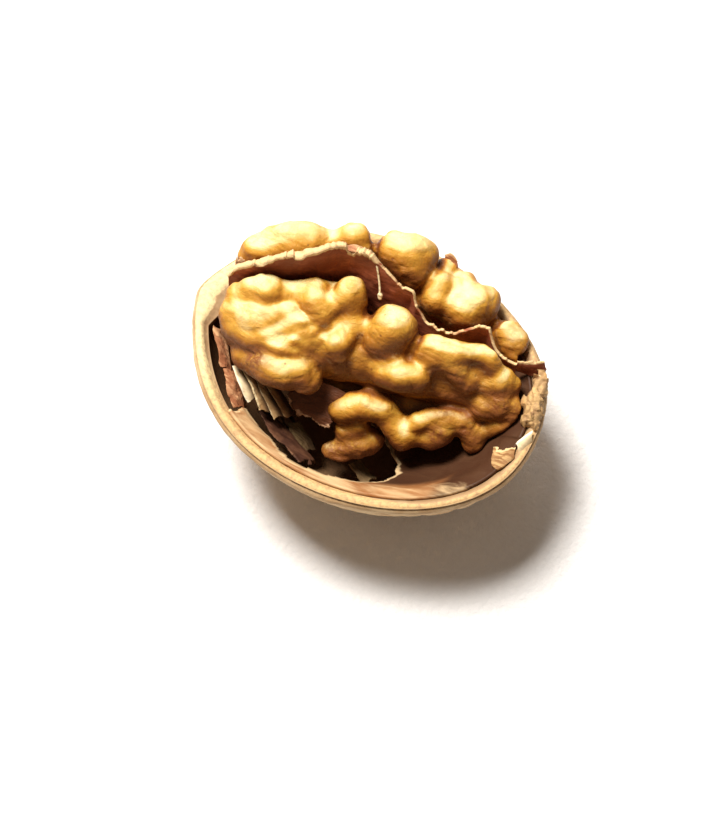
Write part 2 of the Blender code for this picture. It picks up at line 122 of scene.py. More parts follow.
NEAR_UPPER_FOLDS: tuple[Chain, ...] = (
    ((-14.4, -0.4, 20.2, 1.8), (-13.3, 0.5, 20.9, 2.1), (-12.2, 1.0, 21.2, 2.3), (-10.9, 1.5, 20.8, 1.9)),
    ((-9.0, 2.3, 20.9, 1.6),),
    ((-7.5, 3.1, 21.5, 1.7), (-6.9, 2.1, 21.4, 1.8), (-5.9, 1.3, 20.8, 1.8), (-5.1, 1.1, 20.2, 1.6)),
    ((-4.1, 4.7, 21.8, 1.8), (-4.3, 3.7, 21.4, 1.7), (-4.8, 3.0, 21.2, 1.6)),
    ((-3.2, 4.0, 20.8, 1.6), (-3.1, 3.1, 19.8, 1.5)),
    ((-14.7, -2.3, 19.3, 1.6), (-13.4, -2.1, 20.0, 1.7), (-11.9, -1.8, 20.6, 1.7),
     (-10.2, -1.1, 20.8, 1.5), (-9.0, -0.3, 20.9, 1.2)),
    ((-13.2, -3.7, 18.8, 1.6), (-11.6, -3.8, 19.2, 1.6), (-10.0, -3.7, 19.6, 1.4), (-8.3, -3.6, 19.7, 1.3)),
    ((-11.6, -5.2, 17.2, 1.6), (-10.2, -5.4, 17.4, 1.8), (-8.5, -5.7, 18.2, 2),
     (-6.7, -5.3, 18.3, 2), (-5.5, -4.6, 18.3, 1.9), (-4.6, -4.8, 17.6, 1.7)),
    ((-2.6, 2.5, 20.0, 1.5), (-2.8, 1.0, 19.9, 1.4), (-3.0, -0.7, 20.0, 1.5),
     (-2.4, -1.4, 19.0, 1.2), (-1.9, -2.0, 17.6, 0.75)),
    ((-1.6, 1.9, 19.9, 1.1), (-0.7, 2.5, 20.0, 1.1)),
    ((1.7, 3.4, 20.4, 2.7),),
    ((-6.2, 4.1, 20.4, 1.4),),
    ((1.2, 1.9, 19.8, 1.9), (2.3, 1.7, 18.9, 1.9)),
    ((2.7, -0.5, 17.9, 1.6), (4.2, -0.1, 18.2, 1.9), (5.8, 0.5, 18.0, 1.8)),
    ((5.6, 2.9, 19.3, 1.3), (6.4, 2.3, 18.8, 1.3)),
    ((6.0, 3.5, 20.0, 1.4), (7.1, 3.7, 20.2, 1.5), (8.5, 4.2, 20.0, 1.4), (9.9, 4.7, 19.8, 1.3)),
    ((11.2, 5.4, 19.4, 1.4), (12.0, 5.5, 19.2, 1.4)),
    ((7.0, 2.8, 19.4, 1.3), (8.4, 2.9, 19.1, 1.3), (9.9, 2.9, 18.5, 1.4), (10.8, 2.7, 17.8, 1.3)),
    ((12.8, 5.2, 18.3, 1.3), (13.9, 5.1, 17.7, 1.2)),
    ((11.1, 4.4, 17.6, 1.5),),
    ((13.0, 3.5, 17.0, 1.2), (14.1, 4.0, 17.3, 1.4), (15.1, 4.7, 16.7, 1.2)),
    ((13.5, 2.0, 15.2, 1.6), (14.9, 2.8, 15.3, 1.9), (16.3, 2.9, 14.6, 1.8),
     (16.3, 2.1, 13.6, 1.8), (15.2, 1.4, 12.8, 1.8)),
)
NEAR_CREASES: tuple[Chain, ...] = (
    ((-10.2, -3.6, 20.6, 0.7), (-8.8, -2.2, 21.0, 0.7), (-7.5, -0.4, 21.3, 0.7)),
    ((-10.1, -4.2, 20.4, 0.45), (-8.0, -4.1, 20.6, 0.45), (-6.4, -3.6, 20.3, 0.45)),
    ((-7.0, -0.7, 21.6, 0.45), (-6.3, -1.5, 20.8, 0.45)),
    ((-5.5, -0.7, 21.0, 0.45), (-5.8, -1.8, 20.4, 0.4)),
    ((-4.6, -1.1, 20.6, 0.45), (-5.3, -2.0, 20.0, 0.4)),
    ((-7.0, -2.8, 21.0, 0.45), (-5.9, -2.4, 20.2, 0.4)),
)
NEAR_UPPER_FILL: tuple[Chain, ...] = (
    ((-14.0, -3.0, 18.6, 1.65), (-12.6, -2.9, 19.4, 1.85), (-10.8, -2.5, 19.8, 1.9)),
    ((-9.6, -2.6, 19.4, 1.9), (-8.2, -1.4, 19.9, 1.9), (-6.6, -0.9, 19.7, 1.9)),
    ((-8.0, -3.0, 19.4, 1.8), (-6.2, -2.2, 19.0, 1.8), (-4.6, -1.6, 18.6, 1.7)),
)
NEAR_LOWER_FOLDS: tuple[Chain, ...] = (
    ((-0.2, -5.0, 13.6, 1.45), (0.8, -4.2, 14.2, 1.6), (1.9, -3.6, 14.6, 1.7), (3.6, -3.1, 14.3, 1.6),
     (4.8, -3.5, 13.6, 1.4), (6.5, -4.4, 12.4, 1.5), (6.8, -4.6, 12.0, 1.4)),
    ((7.1, -3.3, 13.0, 1.2), (7.9, -2.5, 14.0, 1.2), (9.1, -1.5, 14.2, 1.2),
     (10.5, -0.6, 14.0, 1.2), (11.4, -0.4, 13.8, 1.2)),
    ((10.3, -2.1, 13.1, 1.5),),
    ((8.2, -3.6, 12.4, 1.1), (9.6, -3.1, 12.4, 1.15)),
    ((12.3, -0.2, 13.2, 1.4), (13.5, -0.6, 12.4, 1.5), (13.8, -1.0, 11.9, 1.4)),
    ((0.3, -8.4, 9.3, 1.4), (1.8, -7.1, 10.2, 1.5), (3.7, -5.6, 10.5, 1.5)),
    ((0.7, -6.2, 11.5, 1.2), (1.8, -5.2, 12.0, 1.4)),
)
FAR_UPPER_FOLDS: tuple[Chain, ...] = (
    ((-16.0, 4.3, 19.6, 1.5), (-15.5, 5.2, 20.4, 1.8), (-14.2, 6.3, 21.0, 1.9),
     (-12.6, 7.4, 21.4, 1.9), (-10.9, 8.3, 21.4, 1.9), (-9.5, 8.8, 21.0, 1.6)),
    ((-14.2, 5.4, 20.5, 1.8), (-12.4, 6.5, 20.8, 1.9), (-10.4, 7.4, 21.0, 1.8)),
    ((-7.5, 9.9, 21.1, 1.7), (-6.7, 10.5, 21.5, 1.9), (-5.9, 10.0, 21.0, 1.7)),
    ((-2.2, 11.5, 20.8, 2.2), (-0.9, 11.6, 20.8, 2.45)),
    ((0.3, 12.4, 20.6, 2.1), (0.3, 10.8, 20.2, 2)),
    ((-0.1, 10.6, 20.1, 1.9), (0.5, 9.9, 19.5, 1.2)),
    ((3.5, 10.9, 19.0, 1.7), (3.9, 9.2, 18.6, 1.7)),
    ((6.7, 9.7, 18.3, 2), (7.6, 10.9, 18.5, 2.1), (8.5, 11.6, 18.1, 1.8)),
    ((5.6, 11.5, 18.3, 1.6),),
    ((4.9, 10.3, 17.4, 1.9),),
    ((3.3, 13.2, 18.4, 1.3),),
    ((5.5, 12.8, 17.8, 1.3),),
    ((11.8, 10.3, 16.4, 1.4), (13.2, 9.4, 16.0, 1.7), (14.0, 8.5, 15.4, 1.5)),
    ((6.5, 9.5, 17.4, 1.7), (7.8, 9.9, 17.6, 1.9), (8.7, 11.0, 17.4, 1.7)),
)
# Where the seed's skin is browner: (x, y, z, size, strength)
BROWNED: Patches = (
    (-10.1, -5.9, 19.5, 1.4, 1.5), (-5.0, -6.4, 17.6, 1.8, 0.9), (-4.8, -3.0, 20.1, 1.1, 0.8),
    (-3.5, -3.2, 18.5, 1.2, 0.7), (0.1, 0.0, 19.5, 1.2, 0.6), (15.2, 1.8, 16.8, 2.3, 1.0),
    (16.7, 2.2, 16.3, 1.8, 0.9), (10.2, -3.1, 14.0, 1.3, 1.2), (12.8, -1.3, 14.1, 1.2, 1.0),
    (14.0, -1.3, 13.5, 1.2, 0.9), (9.9, 1.8, 19.3, 1.6, 0.8), (11.9, 2.1, 18.0, 1.3, 0.8),
    (-1.2, -4.9, 14.6, 0.8, 0.7), (3.7, 1.4, 20.5, 1.0, 0.5), (1.2, 8.3, 18.1, 1.2, 0.6),
    (2.3, -8.1, 10.6, 3.0, 0.9), (1.3, -6.4, 12.2, 1.4, 0.6), (13.2, 9.2, 17.0, 2.0, 0.45),
    (12.6, 0.6, 15.4, 1.6, 1.0), (9.8, -0.2, 15.2, 1.5, 0.9), (-5.6, -2.4, 19.4, 1.1, 0.7),
    (7.9, 2.0, 18.2, 1.3, 0.7), (-6.6, -6.8, 18.2, 1.5, 0.5),
)
# Painted highlights: where the seed's skin is painted lighter, as if lit, in the same way
HIGHLIGHT_PATCHES: Patches = (
    (3.3, -4.1, 15.7, 1.5, 1.0), (-12.6, -3.1, 21.7, 2.0, 1.0), (-9.1, -3.7, 21.3, 1.6, 0.7),
    (-6.8, -6.5, 19.8, 1.5, 0.8), (-12.6, 0.8, 23.4, 1.3, 0.7), (-3.2, -1.9, 20.7, 1.1, 0.8),
    (7.8, 9.4, 20.1, 2.0, 1.0), (8.1, 3.5, 21.4, 1.8, 0.9), (-4.2, 4.7, 23.5, 1.2, 0.7),
    (4.4, -1.0, 19.8, 1.2, 0.8), (-15.1, 5.4, 22.5, 1.8, 0.9), (8.6, -3.2, 14.6, 1.2, 0.8),
    (14.2, 4.9, 18.9, 1.0, 0.7), (10.2, 4.5, 21.0, 1.3, 0.6), (1.7, 3.6, 23.0, 1.3, 0.5),
    (-7.6, -0.3, 22.0, 1.2, 0.6), (0.6, -5.6, 15.0, 1.2, 0.7), (9.4, -3.4, 13.8, 1.3, 0.9),
    (7.3, -4.2, 14.0, 1.3, 1.0), (11.5, -1.8, 14.1, 0.9, 0.8), (-14.5, -1.7, 21.6, 1.2, 0.6),
    (10.7, 11.0, 17.2, 1.0, 0.4),
)
# The direction of the painted light: skin facing it is painted palest, and skin turned from it browner, as
# shade, over the skin's own lighter tops and browner sides
LIGHT_SIDE = (-0.22, 0.40, 0.89)
# The seed's lumps: (size, height, more height on the hidden side, which noise)
LUMPS = ((3.4, 0.15, 0.40, 70), (1.9, 0.17, 0.15, 71), (0.9, 0.09, 0.0, 72), (0.45, 0.03, 0.0, 76))
# The broken wood at the stem end, in the same way as the folds
CRUMBS: tuple[Chain, ...] = (
    ((17.2, 7.7, 16.9, 0.45), (17.8, 6.7, 16.9, 0.6), (18.2, 5.5, 16.7, 0.8)),
    ((17.7, 4.8, 16.6, 0.9), (18.4, 4.1, 16.7, 1.15), (18.9, 3.2, 16.5, 1.15), (19.1, 2.2, 16.2, 0.95)),
    ((17.6, 4.1, 16.0, 0.85), (18.2, 3.2, 15.9, 0.95), (18.7, 2.1, 15.8, 0.85)),
)


# Numbers over the surface


def lattice(cells: Array, seed: int) -> Array:
    """Random numbers from -1 to 1 at whole-numbered places, the same each run.

    Args:
        cells: whole numbers, (..., 3).
        seed: which set of numbers.

    Returns:
        An array of the shape (...).
    """
    mixed = (cells[..., 0] * 73856093) ^ (cells[..., 1] * 19349663) ^ (cells[..., 2] * 83492791)
    mixed = (mixed + seed * 374761393) & 0xFFFFFFFF
    mixed = ((mixed ^ (mixed >> 13)) * 1274126177) & 0xFFFFFFFF
    return ((mixed ^ (mixed >> 16)) & 0xFFFF) / 32767.5 - 1


def noise(points: Array, size: float, seed: int = 0) -> Array:
    """Smooth noise from -1 to 1: the lattice's numbers, blended by t*t*(3 - 2t) along each axis.

    Args:
        points: places in millimetres, (..., 3).
        size: the distance between two numbers of the lattice.
        seed: which set of numbers.

    Returns:
        An array of the shape (...).
    """
    scaled = points / size
    low = np.floor(scaled).astype(np.int64)
    share = scaled - low
    share = share * share * (3 - 2 * share)
    total = np.zeros(points.shape[:-1])
    for corner in np.ndindex(2, 2, 2):
        weight = np.prod(np.where(np.array(corner), share, 1 - share), axis=-1)
        total += weight * lattice(low + np.array(corner), seed)
    return total


def rough_noise(points: Array, size: float, octaves: int, seed: int = 0) -> Array:
    """The sum of noises at half the size and half the height each time."""
    return sum(noise(points, size / 2 ** n, seed + n) / 2 ** n for n in range(octaves))


def hump(distance: Array, width: float) -> Array:
    """A smooth hump of height 1 and the given half width: exp(-(distance / width)^2)."""
    return np.exp(-(distance / width) ** 2)


def ramp(value: Array, low: float, high: float) -> Array:
    """A smooth step from 0 at low to 1 at high."""
    share = np.clip((value - low) / (high - low), 0, 1)
    return share * share * (3 - 2 * share)


def polyline(x: Array, points: tuple[Place, ...]) -> tuple[Array, Array]:
    """The y and z of a line of points at each x."""
    table = np.array(points)
    return np.interp(x, table[:, 0], table[:, 1]), np.interp(x, table[:, 0], table[:, 2])


def curve_through(points: Array, count: int) -> Array:
    """A smooth curve through points, as a Catmull-Rom spline.

    Args:
        points: the points it goes through, (n, k).
        count: how many points to give, evenly over the spans.

    Returns:
        The points of the curve, (count, k).
    """
    ends = np.vstack([2 * points[0] - points[1], points, 2 * points[-1] - points[-2]])
    place = np.linspace(0, len(points) - 1, count)
    span = np.minimum(place.astype(int), len(points) - 2)
    t = (place - span)[:, None]
    a, b, c, d = (ends[span + n] for n in range(4))
    square = (2 * a - 5 * b + 4 * c - d) * t ** 2
    cube = (3 * b - a - 3 * c + d) * t ** 3
    return 0.5 * (2 * b + (c - a) * t + square + cube)


# Meshes


@dataclass
class Surface:
    """Points, faces and named numbers at each point, on the way to a mesh."""

    points: Array
    faces: Array
    marks: dict[str, Array] = field(default_factory=dict)

    def build(self, name: str, material: bpy.types.Material) -> bpy.types.Object:
        """Put the surface into a mesh object of one material, shaded smooth.

        Args:
            name: the piece's name.
            material: its finish.

        Returns:
            The new object, linked to the scene and sitting at the origin.
        """
        used, faces = np.unique(self.faces, return_inverse=True)
        faces = faces.reshape(self.faces.shape)
        mesh = bpy.data.meshes.new(name)
        mesh.vertices.add(len(used))
        mesh.vertices.foreach_set("co", (self.points[used] * MM).astype(np.float32).ravel())
        mesh.loops.add(faces.size)
        mesh.loops.foreach_set("vertex_index", faces.astype(np.int32).ravel())
        mesh.polygons.add(len(faces))
        mesh.polygons.foreach_set("loop_start", np.arange(0, faces.size, faces.shape[1], dtype=np.int32))
        mesh.update(calc_edges=True)
        mesh.shade_smooth()
        for mark, numbers in self.marks.items():
            layer = mesh.attributes.new(mark, "FLOAT", "POINT")
            layer.data.foreach_set("value", numbers.reshape(-1)[used].astype(np.float32))
        mesh.materials.append(material)
        made = bpy.data.objects.new(name, mesh)
        bpy.context.scene.collection.objects.link(made)
        return made


def grid_faces(rows: int, columns: int, around: bool) -> Array:
    """The quads of a grid of points, numbered row by row.

    Args:
        rows: how many rows of points.
        columns: how many points in a row.
        around: whether each row closes on itself.

    Returns:
        Four point numbers for each quad.
    """
    across = columns if around else columns - 1
    row, column = np.meshgrid(np.arange(rows - 1), np.arange(across), indexing="ij")
    following = (column + 1) % columns
    quads = [row * columns + column, row * columns + following,
             (row + 1) * columns + following, (row + 1) * columns + column]
    return np.stack(quads, axis=-1).reshape(-1, 4)


def grid_normals(points: Array) -> Array:
    """The unit normal at each point of a grid, from the cross product of its two differences."""
    across = np.cross(np.gradient(points, axis=0), np.gradient(points, axis=1))
    return across / np.maximum(np.linalg.norm(across, axis=-1, keepdims=True), 1e-9)


def sheet(points: Array, thickness: Array | float, kept: Array | None = None,
          marks: dict[str, Array] | None = None) -> Surface:
    """A closed thin solid on both sides of a grid of points.

    Each point p gives p + n*t/2 and p - n*t/2, with n the grid's normal and t the thickness. Quads outside
    the kept ones are left out, and every edge of what is kept gets a narrow side face.

    Args:
        points: the middle surface, (rows, columns, 3).
        thickness: the thickness, one number or one for each point.
        kept: which quads to keep, (rows - 1, columns - 1).
        marks: named numbers for each point of the grid.

    Returns:
        The closed surface, with its faces outwards.
    """
    rows, columns = points.shape[:2]
    half = np.broadcast_to(np.asarray(thickness, float) / 2, (rows, columns))[..., None]
    out = grid_normals(points) * half
    both = np.concatenate([(points + out).reshape(-1, 3), (points - out).reshape(-1, 3)])
    kept = np.ones((rows - 1, columns - 1), bool) if kept is None else kept
    quads = grid_faces(rows, columns, False)[kept.ravel()]
    size = rows * columns
    sides = []
    padded = np.pad(kept, 1)
    for start, end, step in ((0, 1, (0, 1)), (1, 2, (1, 2)), (2, 3, (2, 1)), (3, 0, (1, 0))):
        beside = padded[step[0]:step[0] + rows - 1, step[1]:step[1] + columns - 1]
        bare = quads[~beside[kept]]
        a, b = bare[:, start], bare[:, end]
        sides.append(np.stack([a, b, b + size, a + size], axis=1))
    faces = np.concatenate([quads[:, ::-1], quads + size, *sides])
    twice = {name: np.concatenate([mark.ravel(), mark.ravel()]) for name, mark in (marks or {}).items()}
    return Surface(both, faces, twice)


# Solids from a field


@dataclass
class Field:
    """Distances to a solid's surface on a grid of places, below zero inside it."""

    low: Array
    high: Array
    step: float
    far: float = 3.0

    def __post_init__(self) -> None:
        """Lay out the axes, with every distance still far."""
        self.axes = [np.arange(a, b + self.step, self.step) for a, b in zip(self.low, self.high)]
        self.values = np.full([len(axis) for axis in self.axes], self.far, np.float32)

    def places(self, part: tuple[slice, ...] = (slice(None),) * 3) -> Array:
        """The places of a part of the grid."""
        return np.stack(np.meshgrid(*(a[p] for a, p in zip(self.axes, part)), indexing="ij"), axis=-1)

    def add_chain(self, chain: Chain, blend: float) -> None:
        """Join a rounded fold to the solid.

        The distance to one span of the chain is the distance to its middle line less the radius there. The
        chain's is the least of these, and it joins the rest by min(a, b) - h*h*blend/4, with
        h = max(blend - |a - b|, 0) / blend.

        Args:
            chain: points (x, y, z, radius) along the fold's middle.
            blend: how far the fold flows into its neighbours.
        """
        table = np.array(chain, float)
        reach = table[:, 3].max() + self.far * 0.8
        part = tuple(slice(*np.searchsorted(axis, (table[:, n].min() - reach, table[:, n].max() + reach)))
                     for n, axis in enumerate(self.axes))
        places = self.places(part)
        nearest = np.full(places.shape[:-1], self.far)
        for start, end in zip(table, table[min(1, len(table) - 1):]):
            line = end[:3] - start[:3]
            share = np.clip((places - start[:3]) @ line / max(line @ line, 1e-9), 0, 1)
            middle = start[:3] + share[..., None] * line
            away = np.linalg.norm(places - middle, axis=-1) - (start[3] + share * (end[3] - start[3]))
            nearest = np.minimum(nearest, away)
        old = self.values[part]
        overlap = np.maximum(blend - np.abs(old - nearest), 0) / blend
        self.values[part] = np.minimum(old, nearest) - overlap ** 2 * blend / 4

    def cut(self, outside: Array, blend: float) -> None:
        """Keep only where outside is below zero, with the cut's edge rounded by blend."""
        overlap = np.maximum(blend - np.abs(self.values - outside), 0) / blend
        self.values = np.maximum(self.values, outside) + overlap ** 2 * blend / 4

    def sample(self, points: Array) -> Array:
        """The field at any points, blended in a straight line between the grid's places.

        Args:
            points: places in millimetres, (n, 3).

        Returns:
            A distance for each point.
        """
        scaled = (points - self.low) / self.step
        low = np.clip(np.floor(scaled).astype(int), 0, np.array(self.values.shape) - 2)
        share = np.clip(scaled - low, 0, 1)
        total = np.zeros(len(points))
        for corner in np.ndindex(2, 2, 2):
            weight = np.prod(np.where(np.array(corner), share, 1 - share), axis=-1)
            total += weight * self.values[tuple((low + np.array(corner)).T)]
        return total

    def normals(self, points: Array) -> Array:
        """Unit vectors towards larger distances: the field's differences over a short reach each way.

        Args:
            points: places in millimetres, (n, 3).

        Returns:
            A unit vector for each point.
        """
        reach = self.step * 0.75
        slopes = np.stack([self.sample(points + move) - self.sample(points - move)
                           for move in np.eye(3) * reach], axis=-1)
        return slopes / np.maximum(np.linalg.norm(slopes, axis=-1, keepdims=True), 1e-9)

    def surface(self) -> Surface:
        """The surface where the field is zero.

        Each grid cell that the surface passes through gets one point, the middle of the places where it
        crosses the cell's edges. Each edge that it crosses gets one quad, between the points of the four
        cells round it.

        Returns:
            The closed surface, with its faces outwards.
        """
        values = self.values
        inside = values < 0
        shape = np.array(values.shape) - 1
        total = np.zeros((*shape, 3), np.float32)
        count = np.zeros(shape, np.float32)
        for axis in range(3):
            others = [n for n in range(3) if n != axis]
            for offset in np.ndindex(2, 2):
                start = [slice(0, shape[n]) for n in range(3)]
                for n, move in zip(others, offset):
                    start[n] = slice(move, move + shape[n])
                end = list(start)
                end[axis] = slice(1, 1 + shape[axis])
                a, b = values[tuple(start)], values[tuple(end)]
                crossed = inside[tuple(start)] != inside[tuple(end)]
                share = np.where(crossed, a / np.where(crossed, a - b, 1), 0)
                total[..., axis] += share
                for n, move in zip(others, offset):
                    total[..., n] += crossed * move
                count += crossed
        cells = np.argwhere(count > 0)
        number = np.full(shape, -1, np.int64)
        number[tuple(cells.T)] = np.arange(len(cells))
        points = (cells + total[tuple(cells.T)] / count[tuple(cells.T)][:, None]) * self.step + self.low
        faces = []
        for axis in range(3):
            b, c = [n for n in range(3) if n != axis]
            start = [slice(1, -1)] * 3
            start[axis] = slice(0, -1)
            end = list(start)
            end[axis] = slice(1, None)
            within = inside[tuple(start)]
            crossed = np.argwhere(within != inside[tuple(end)])
            leaving = within[tuple(crossed.T)] ^ (axis == 1)
            base = crossed + np.array([0 if n == axis else 1 for n in range(3)])
            corners = []
            for move in ((-1, -1), (0, -1), (0, 0), (-1, 0)):
                cell = base.copy()
                cell[:, b] += move[0]
                cell[:, c] += move[1]
                corners.append(number[tuple(cell.T)])
            quads = np.stack(corners, axis=1)
            faces.append(np.where(leaving[:, None], quads, quads[:, ::-1]))
        return Surface(points.astype(float), np.concatenate(faces))


# Finishes


class Nodes:
    """Adds and joins the nodes of one node tree."""

    def __init__(self, tree: bpy.types.NodeTree) -> None:
        """Keep the tree."""
        self.tree = tree

    def add(self, kind: str, /, **settings: object) -> bpy.types.Node:
        """A node of a kind, with its settings.

        Args:
            kind: the node's type.
            settings: what to set on it, such as operation="ADD".

        Returns:
            The new node.
        """
        made = self.tree.nodes.new(kind)
        for key, value in settings.items():
            setattr(made, key, value)
        return made

    def put(self, socket: bpy.types.NodeSocket, value: object) -> None:
        """Join another socket to an input, or give the input a value.

        Args:
            socket: the input.
            value: the other socket, or a number or colour.
        """
        if isinstance(value, bpy.types.NodeSocket):
            self.tree.links.new(value, socket)
        else:
            socket.default_value = value

    def mark(self, name: str) -> bpy.types.NodeSocket:
        """The numbers that a mesh carries under a name."""
        return self.add("ShaderNodeAttribute", attribute_name=name).outputs["Fac"]

    def place(self, scale: Place = (1, 1, 1)) -> bpy.types.NodeSocket:
        """The place on the piece.

        Args:
            scale: what to multiply the place by, along each axis.

        Returns:
            The place in metres times the scale.
        """
        mapping = self.add("ShaderNodeMapping")
        self.put(mapping.inputs["Vector"], self.add("ShaderNodeTexCoord").outputs["Object"])
        mapping.inputs["Scale"].default_value = scale
        return mapping.outputs["Vector"]

    def noise(self, size: float, detail: float = 4, rough: float = 0.55,
              stretch: Place = (1, 1, 1), warp: float = 0) -> bpy.types.NodeSocket:
        """Noise from 0 to 1.

        Args:
            size: the size of its spots in millimetres.
            detail: how many finer noises are added.
            rough: how strong the finer ones are.
            stretch: below 1, it makes the spots longer along an axis.
            warp: how far the spots are pulled out of shape.

        Returns:
            The noise.
        """
        made = self.add("ShaderNodeTexNoise")
        self.put(made.inputs["Vector"], self.place(stretch))
        made.inputs["Scale"].default_value = 1 / (size * MM)
        made.inputs["Detail"].default_value = detail
        made.inputs["Roughness"].default_value = rough
        made.inputs["Distortion"].default_value = warp
        return made.outputs["Fac"]

    def math(self, operation: str, a: object, b: object = 0.0, clamp: bool = False) -> bpy.types.NodeSocket:
        """One step of arithmetic.

        Args:
            operation: its name, such as "ADD".
            a: the first number or socket.
            b: the second one.
            clamp: whether to keep the result between 0 and 1.

        Returns:
            The result.
        """
        made = self.add("ShaderNodeMath", operation=operation, use_clamp=clamp)
        self.put(made.inputs[0], a)
        self.put(made.inputs[1], b)
        return made.outputs[0]

    def step(self, value: object, low: float, high: float) -> bpy.types.NodeSocket:
        """A smooth step from 0 at low to 1 at high.

        Args:
            value: the number or socket to read.
            low: where the step is 0.
            high: where it is 1, which may be below low.

        Returns:
            The step.
        """
        made = self.add("ShaderNodeMapRange", interpolation_type="SMOOTHSTEP")
        self.put(made.inputs["Value"], value)
        ends = (low, high, 0, 1) if low < high else (high, low, 1, 0)
        for key, number in zip(("From Min", "From Max", "To Min", "To Max"), ends):
            made.inputs[key].default_value = number
        return made.outputs["Result"]

    def mix(self, share: object, a: object, b: object) -> bpy.types.NodeSocket:
        """A colour between two others.

        Args:
            share: how much of the second one shows, from 0 to 1.
            a: the first colour or socket.
            b: the second one.

        Returns:
            The mixed colour.
        """
        made = self.add("ShaderNodeMix", data_type="RGBA")
        for index, value in ((0, share), (6, a), (7, b)):
            self.put(made.inputs[index], value)
        return made.outputs[2]

    def bump(self, height: object, depth: float) -> bpy.types.NodeSocket:
        """A normal that follows a height.

        Args:
            height: the height, from 0 to 1.
            depth: how deep it goes, in millimetres.

        Returns:
            The normal.
        """
        made = self.add("ShaderNodeBump")
        made.inputs["Distance"].default_value = depth * MM
        self.put(made.inputs["Height"], height)
        return made.outputs["Normal"]


def colour(red: float, green: float, blue: float) -> Colour:
    """An opaque colour, as linear light."""
    return red, green, blue, 1.0


def new_group(name: str, inputs: dict[str, float], outputs: tuple[str, ...]) -> bpy.types.NodeTree:
    """An empty node group with number inputs and outputs.

    Args:
        name: the group's name.
        inputs: the inputs' names and first values.
        outputs: the outputs' names.

    Returns:
        The new group.
    """
    group = bpy.data.node_groups.new(name, "ShaderNodeTree")
    for key, value in inputs.items():
        socket = group.interface.new_socket(name=key, in_out="INPUT", socket_type="NodeSocketFloat")
        socket.default_value = value
    for key in outputs:
        group.interface.new_socket(name=key, in_out="OUTPUT", socket_type="NodeSocketFloat")
    return group


def fibre_group() -> bpy.types.NodeTree:
    """Dry plant tissue: long fine fibres along the nut, with blotches over them.

    Returns:
        A group with the inputs Scale (fibres in a metre) and Contrast, and the outputs Fibre and Blotch.
    """
    group = new_group("tissue_fibre", {"Scale": 2500.0, "Contrast": 1.0}, ("Fibre", "Blotch"))
    nodes = Nodes(group)
    given = nodes.add("NodeGroupInput")
    result = nodes.add("NodeGroupOutput")
    fibre = nodes.add("ShaderNodeTexNoise")
    nodes.put(fibre.inputs["Vector"], nodes.place((0.18, 1.0, 0.6)))
    nodes.put(fibre.inputs["Scale"], given.outputs["Scale"])
    fibre.inputs["Detail"].default_value = 5
    fibre.inputs["Distortion"].default_value = 0.6
    raised = nodes.math("SUBTRACT", fibre.outputs["Fac"], 0.5)
    raised = nodes.math("MULTIPLY", raised, given.outputs["Contrast"])
    nodes.put(result.inputs["Fibre"], nodes.math("ADD", raised, 0.5, clamp=True))
    nodes.put(result.inputs["Blotch"], nodes.noise(3.2, 3, warp=0.4))
    return group


class Tissue(Enum):
    """The finishes of the thin dry sheets."""

    LINING = "lining"
    WALL = "wall"
    SCRAP = "scrap"
    FLAP = "flap"
    OLIVE = "olive"
    PALE = "pale"
    CHIP = "chip"
    DUSK = "dusk"
    CRACK_SHADE = "crack_shade"
    FILM = "film"


@dataclass(frozen=True)
class SheetFinish:
    """A dry sheet with fibres, of two colours, which reads the marks "edge" (pale) and "stain" (dark: painted
    shadow and painted shade).
    """

    name: str
    light: Colour
    dark: Colour
    edge: Colour
    roughness: float = 0.62
    relief: float = 0.06
    fibres: float = 2500.0
    contrast: float = 0.5
    # The colour of the painted shadow and painted shade
    painted_shade: Colour = colour(0.046, 0.018, 0.010)

    def make(self, fibre: bpy.types.NodeTree) -> bpy.types.Material:
        """The sheet's material.

        Args:
            fibre: the shared node group for dry tissue.

        Returns:
            The new material.
        """
        made, nodes, shader = start_material(self.name)
        tissue = nodes.add("ShaderNodeGroup", node_tree=fibre)
        tissue.inputs["Scale"].default_value = self.fibres
        tissue.inputs["Contrast"].default_value = 1.4
        fine, blotch = tissue.outputs["Fibre"], tissue.outputs["Blotch"]
        body = nodes.mix(nodes.step(blotch, 0.36, 0.66), self.dark, self.light)
        body = nodes.mix(nodes.math("MULTIPLY", nodes.step(fine, 0.62, 0.34), self.contrast), body, self.dark)
        # Painted shade: dark where the sheet's mark says shadow falls on it
        body = nodes.mix(nodes.mark("painted_shade"), body, self.painted_shade)
        frayed = nodes.math("ADD", nodes.mark("edge"), nodes.math("MULTIPLY", fine, 0.5))
        nodes.put(shader.inputs["Base Color"], nodes.mix(nodes.step(frayed, 0.55, 0.95), body, self.edge))
        rough = nodes.math("ADD", nodes.math("MULTIPLY", fine, 0.2), self.roughness - 0.1)
        nodes.put(shader.inputs["Roughness"], rough)
        height = nodes.math("ADD", fine, nodes.math("MULTIPLY", blotch, 2))
        nodes.put(shader.inputs["Normal"], nodes.bump(height, self.relief))
        shader.inputs["Specular IOR Level"].default_value = 0.16
        return made


def start_material(name: str) -> tuple[bpy.types.Material, Nodes, bpy.types.Node]:
    """Start a new material.

    Args:
        name: the material's name.

    Returns:
        The material, its node tree and its shader.
    """
    made = bpy.data.materials.new(name)
    made.use_nodes = True
    return made, Nodes(made.node_tree), made.node_tree.nodes["Principled BSDF"]


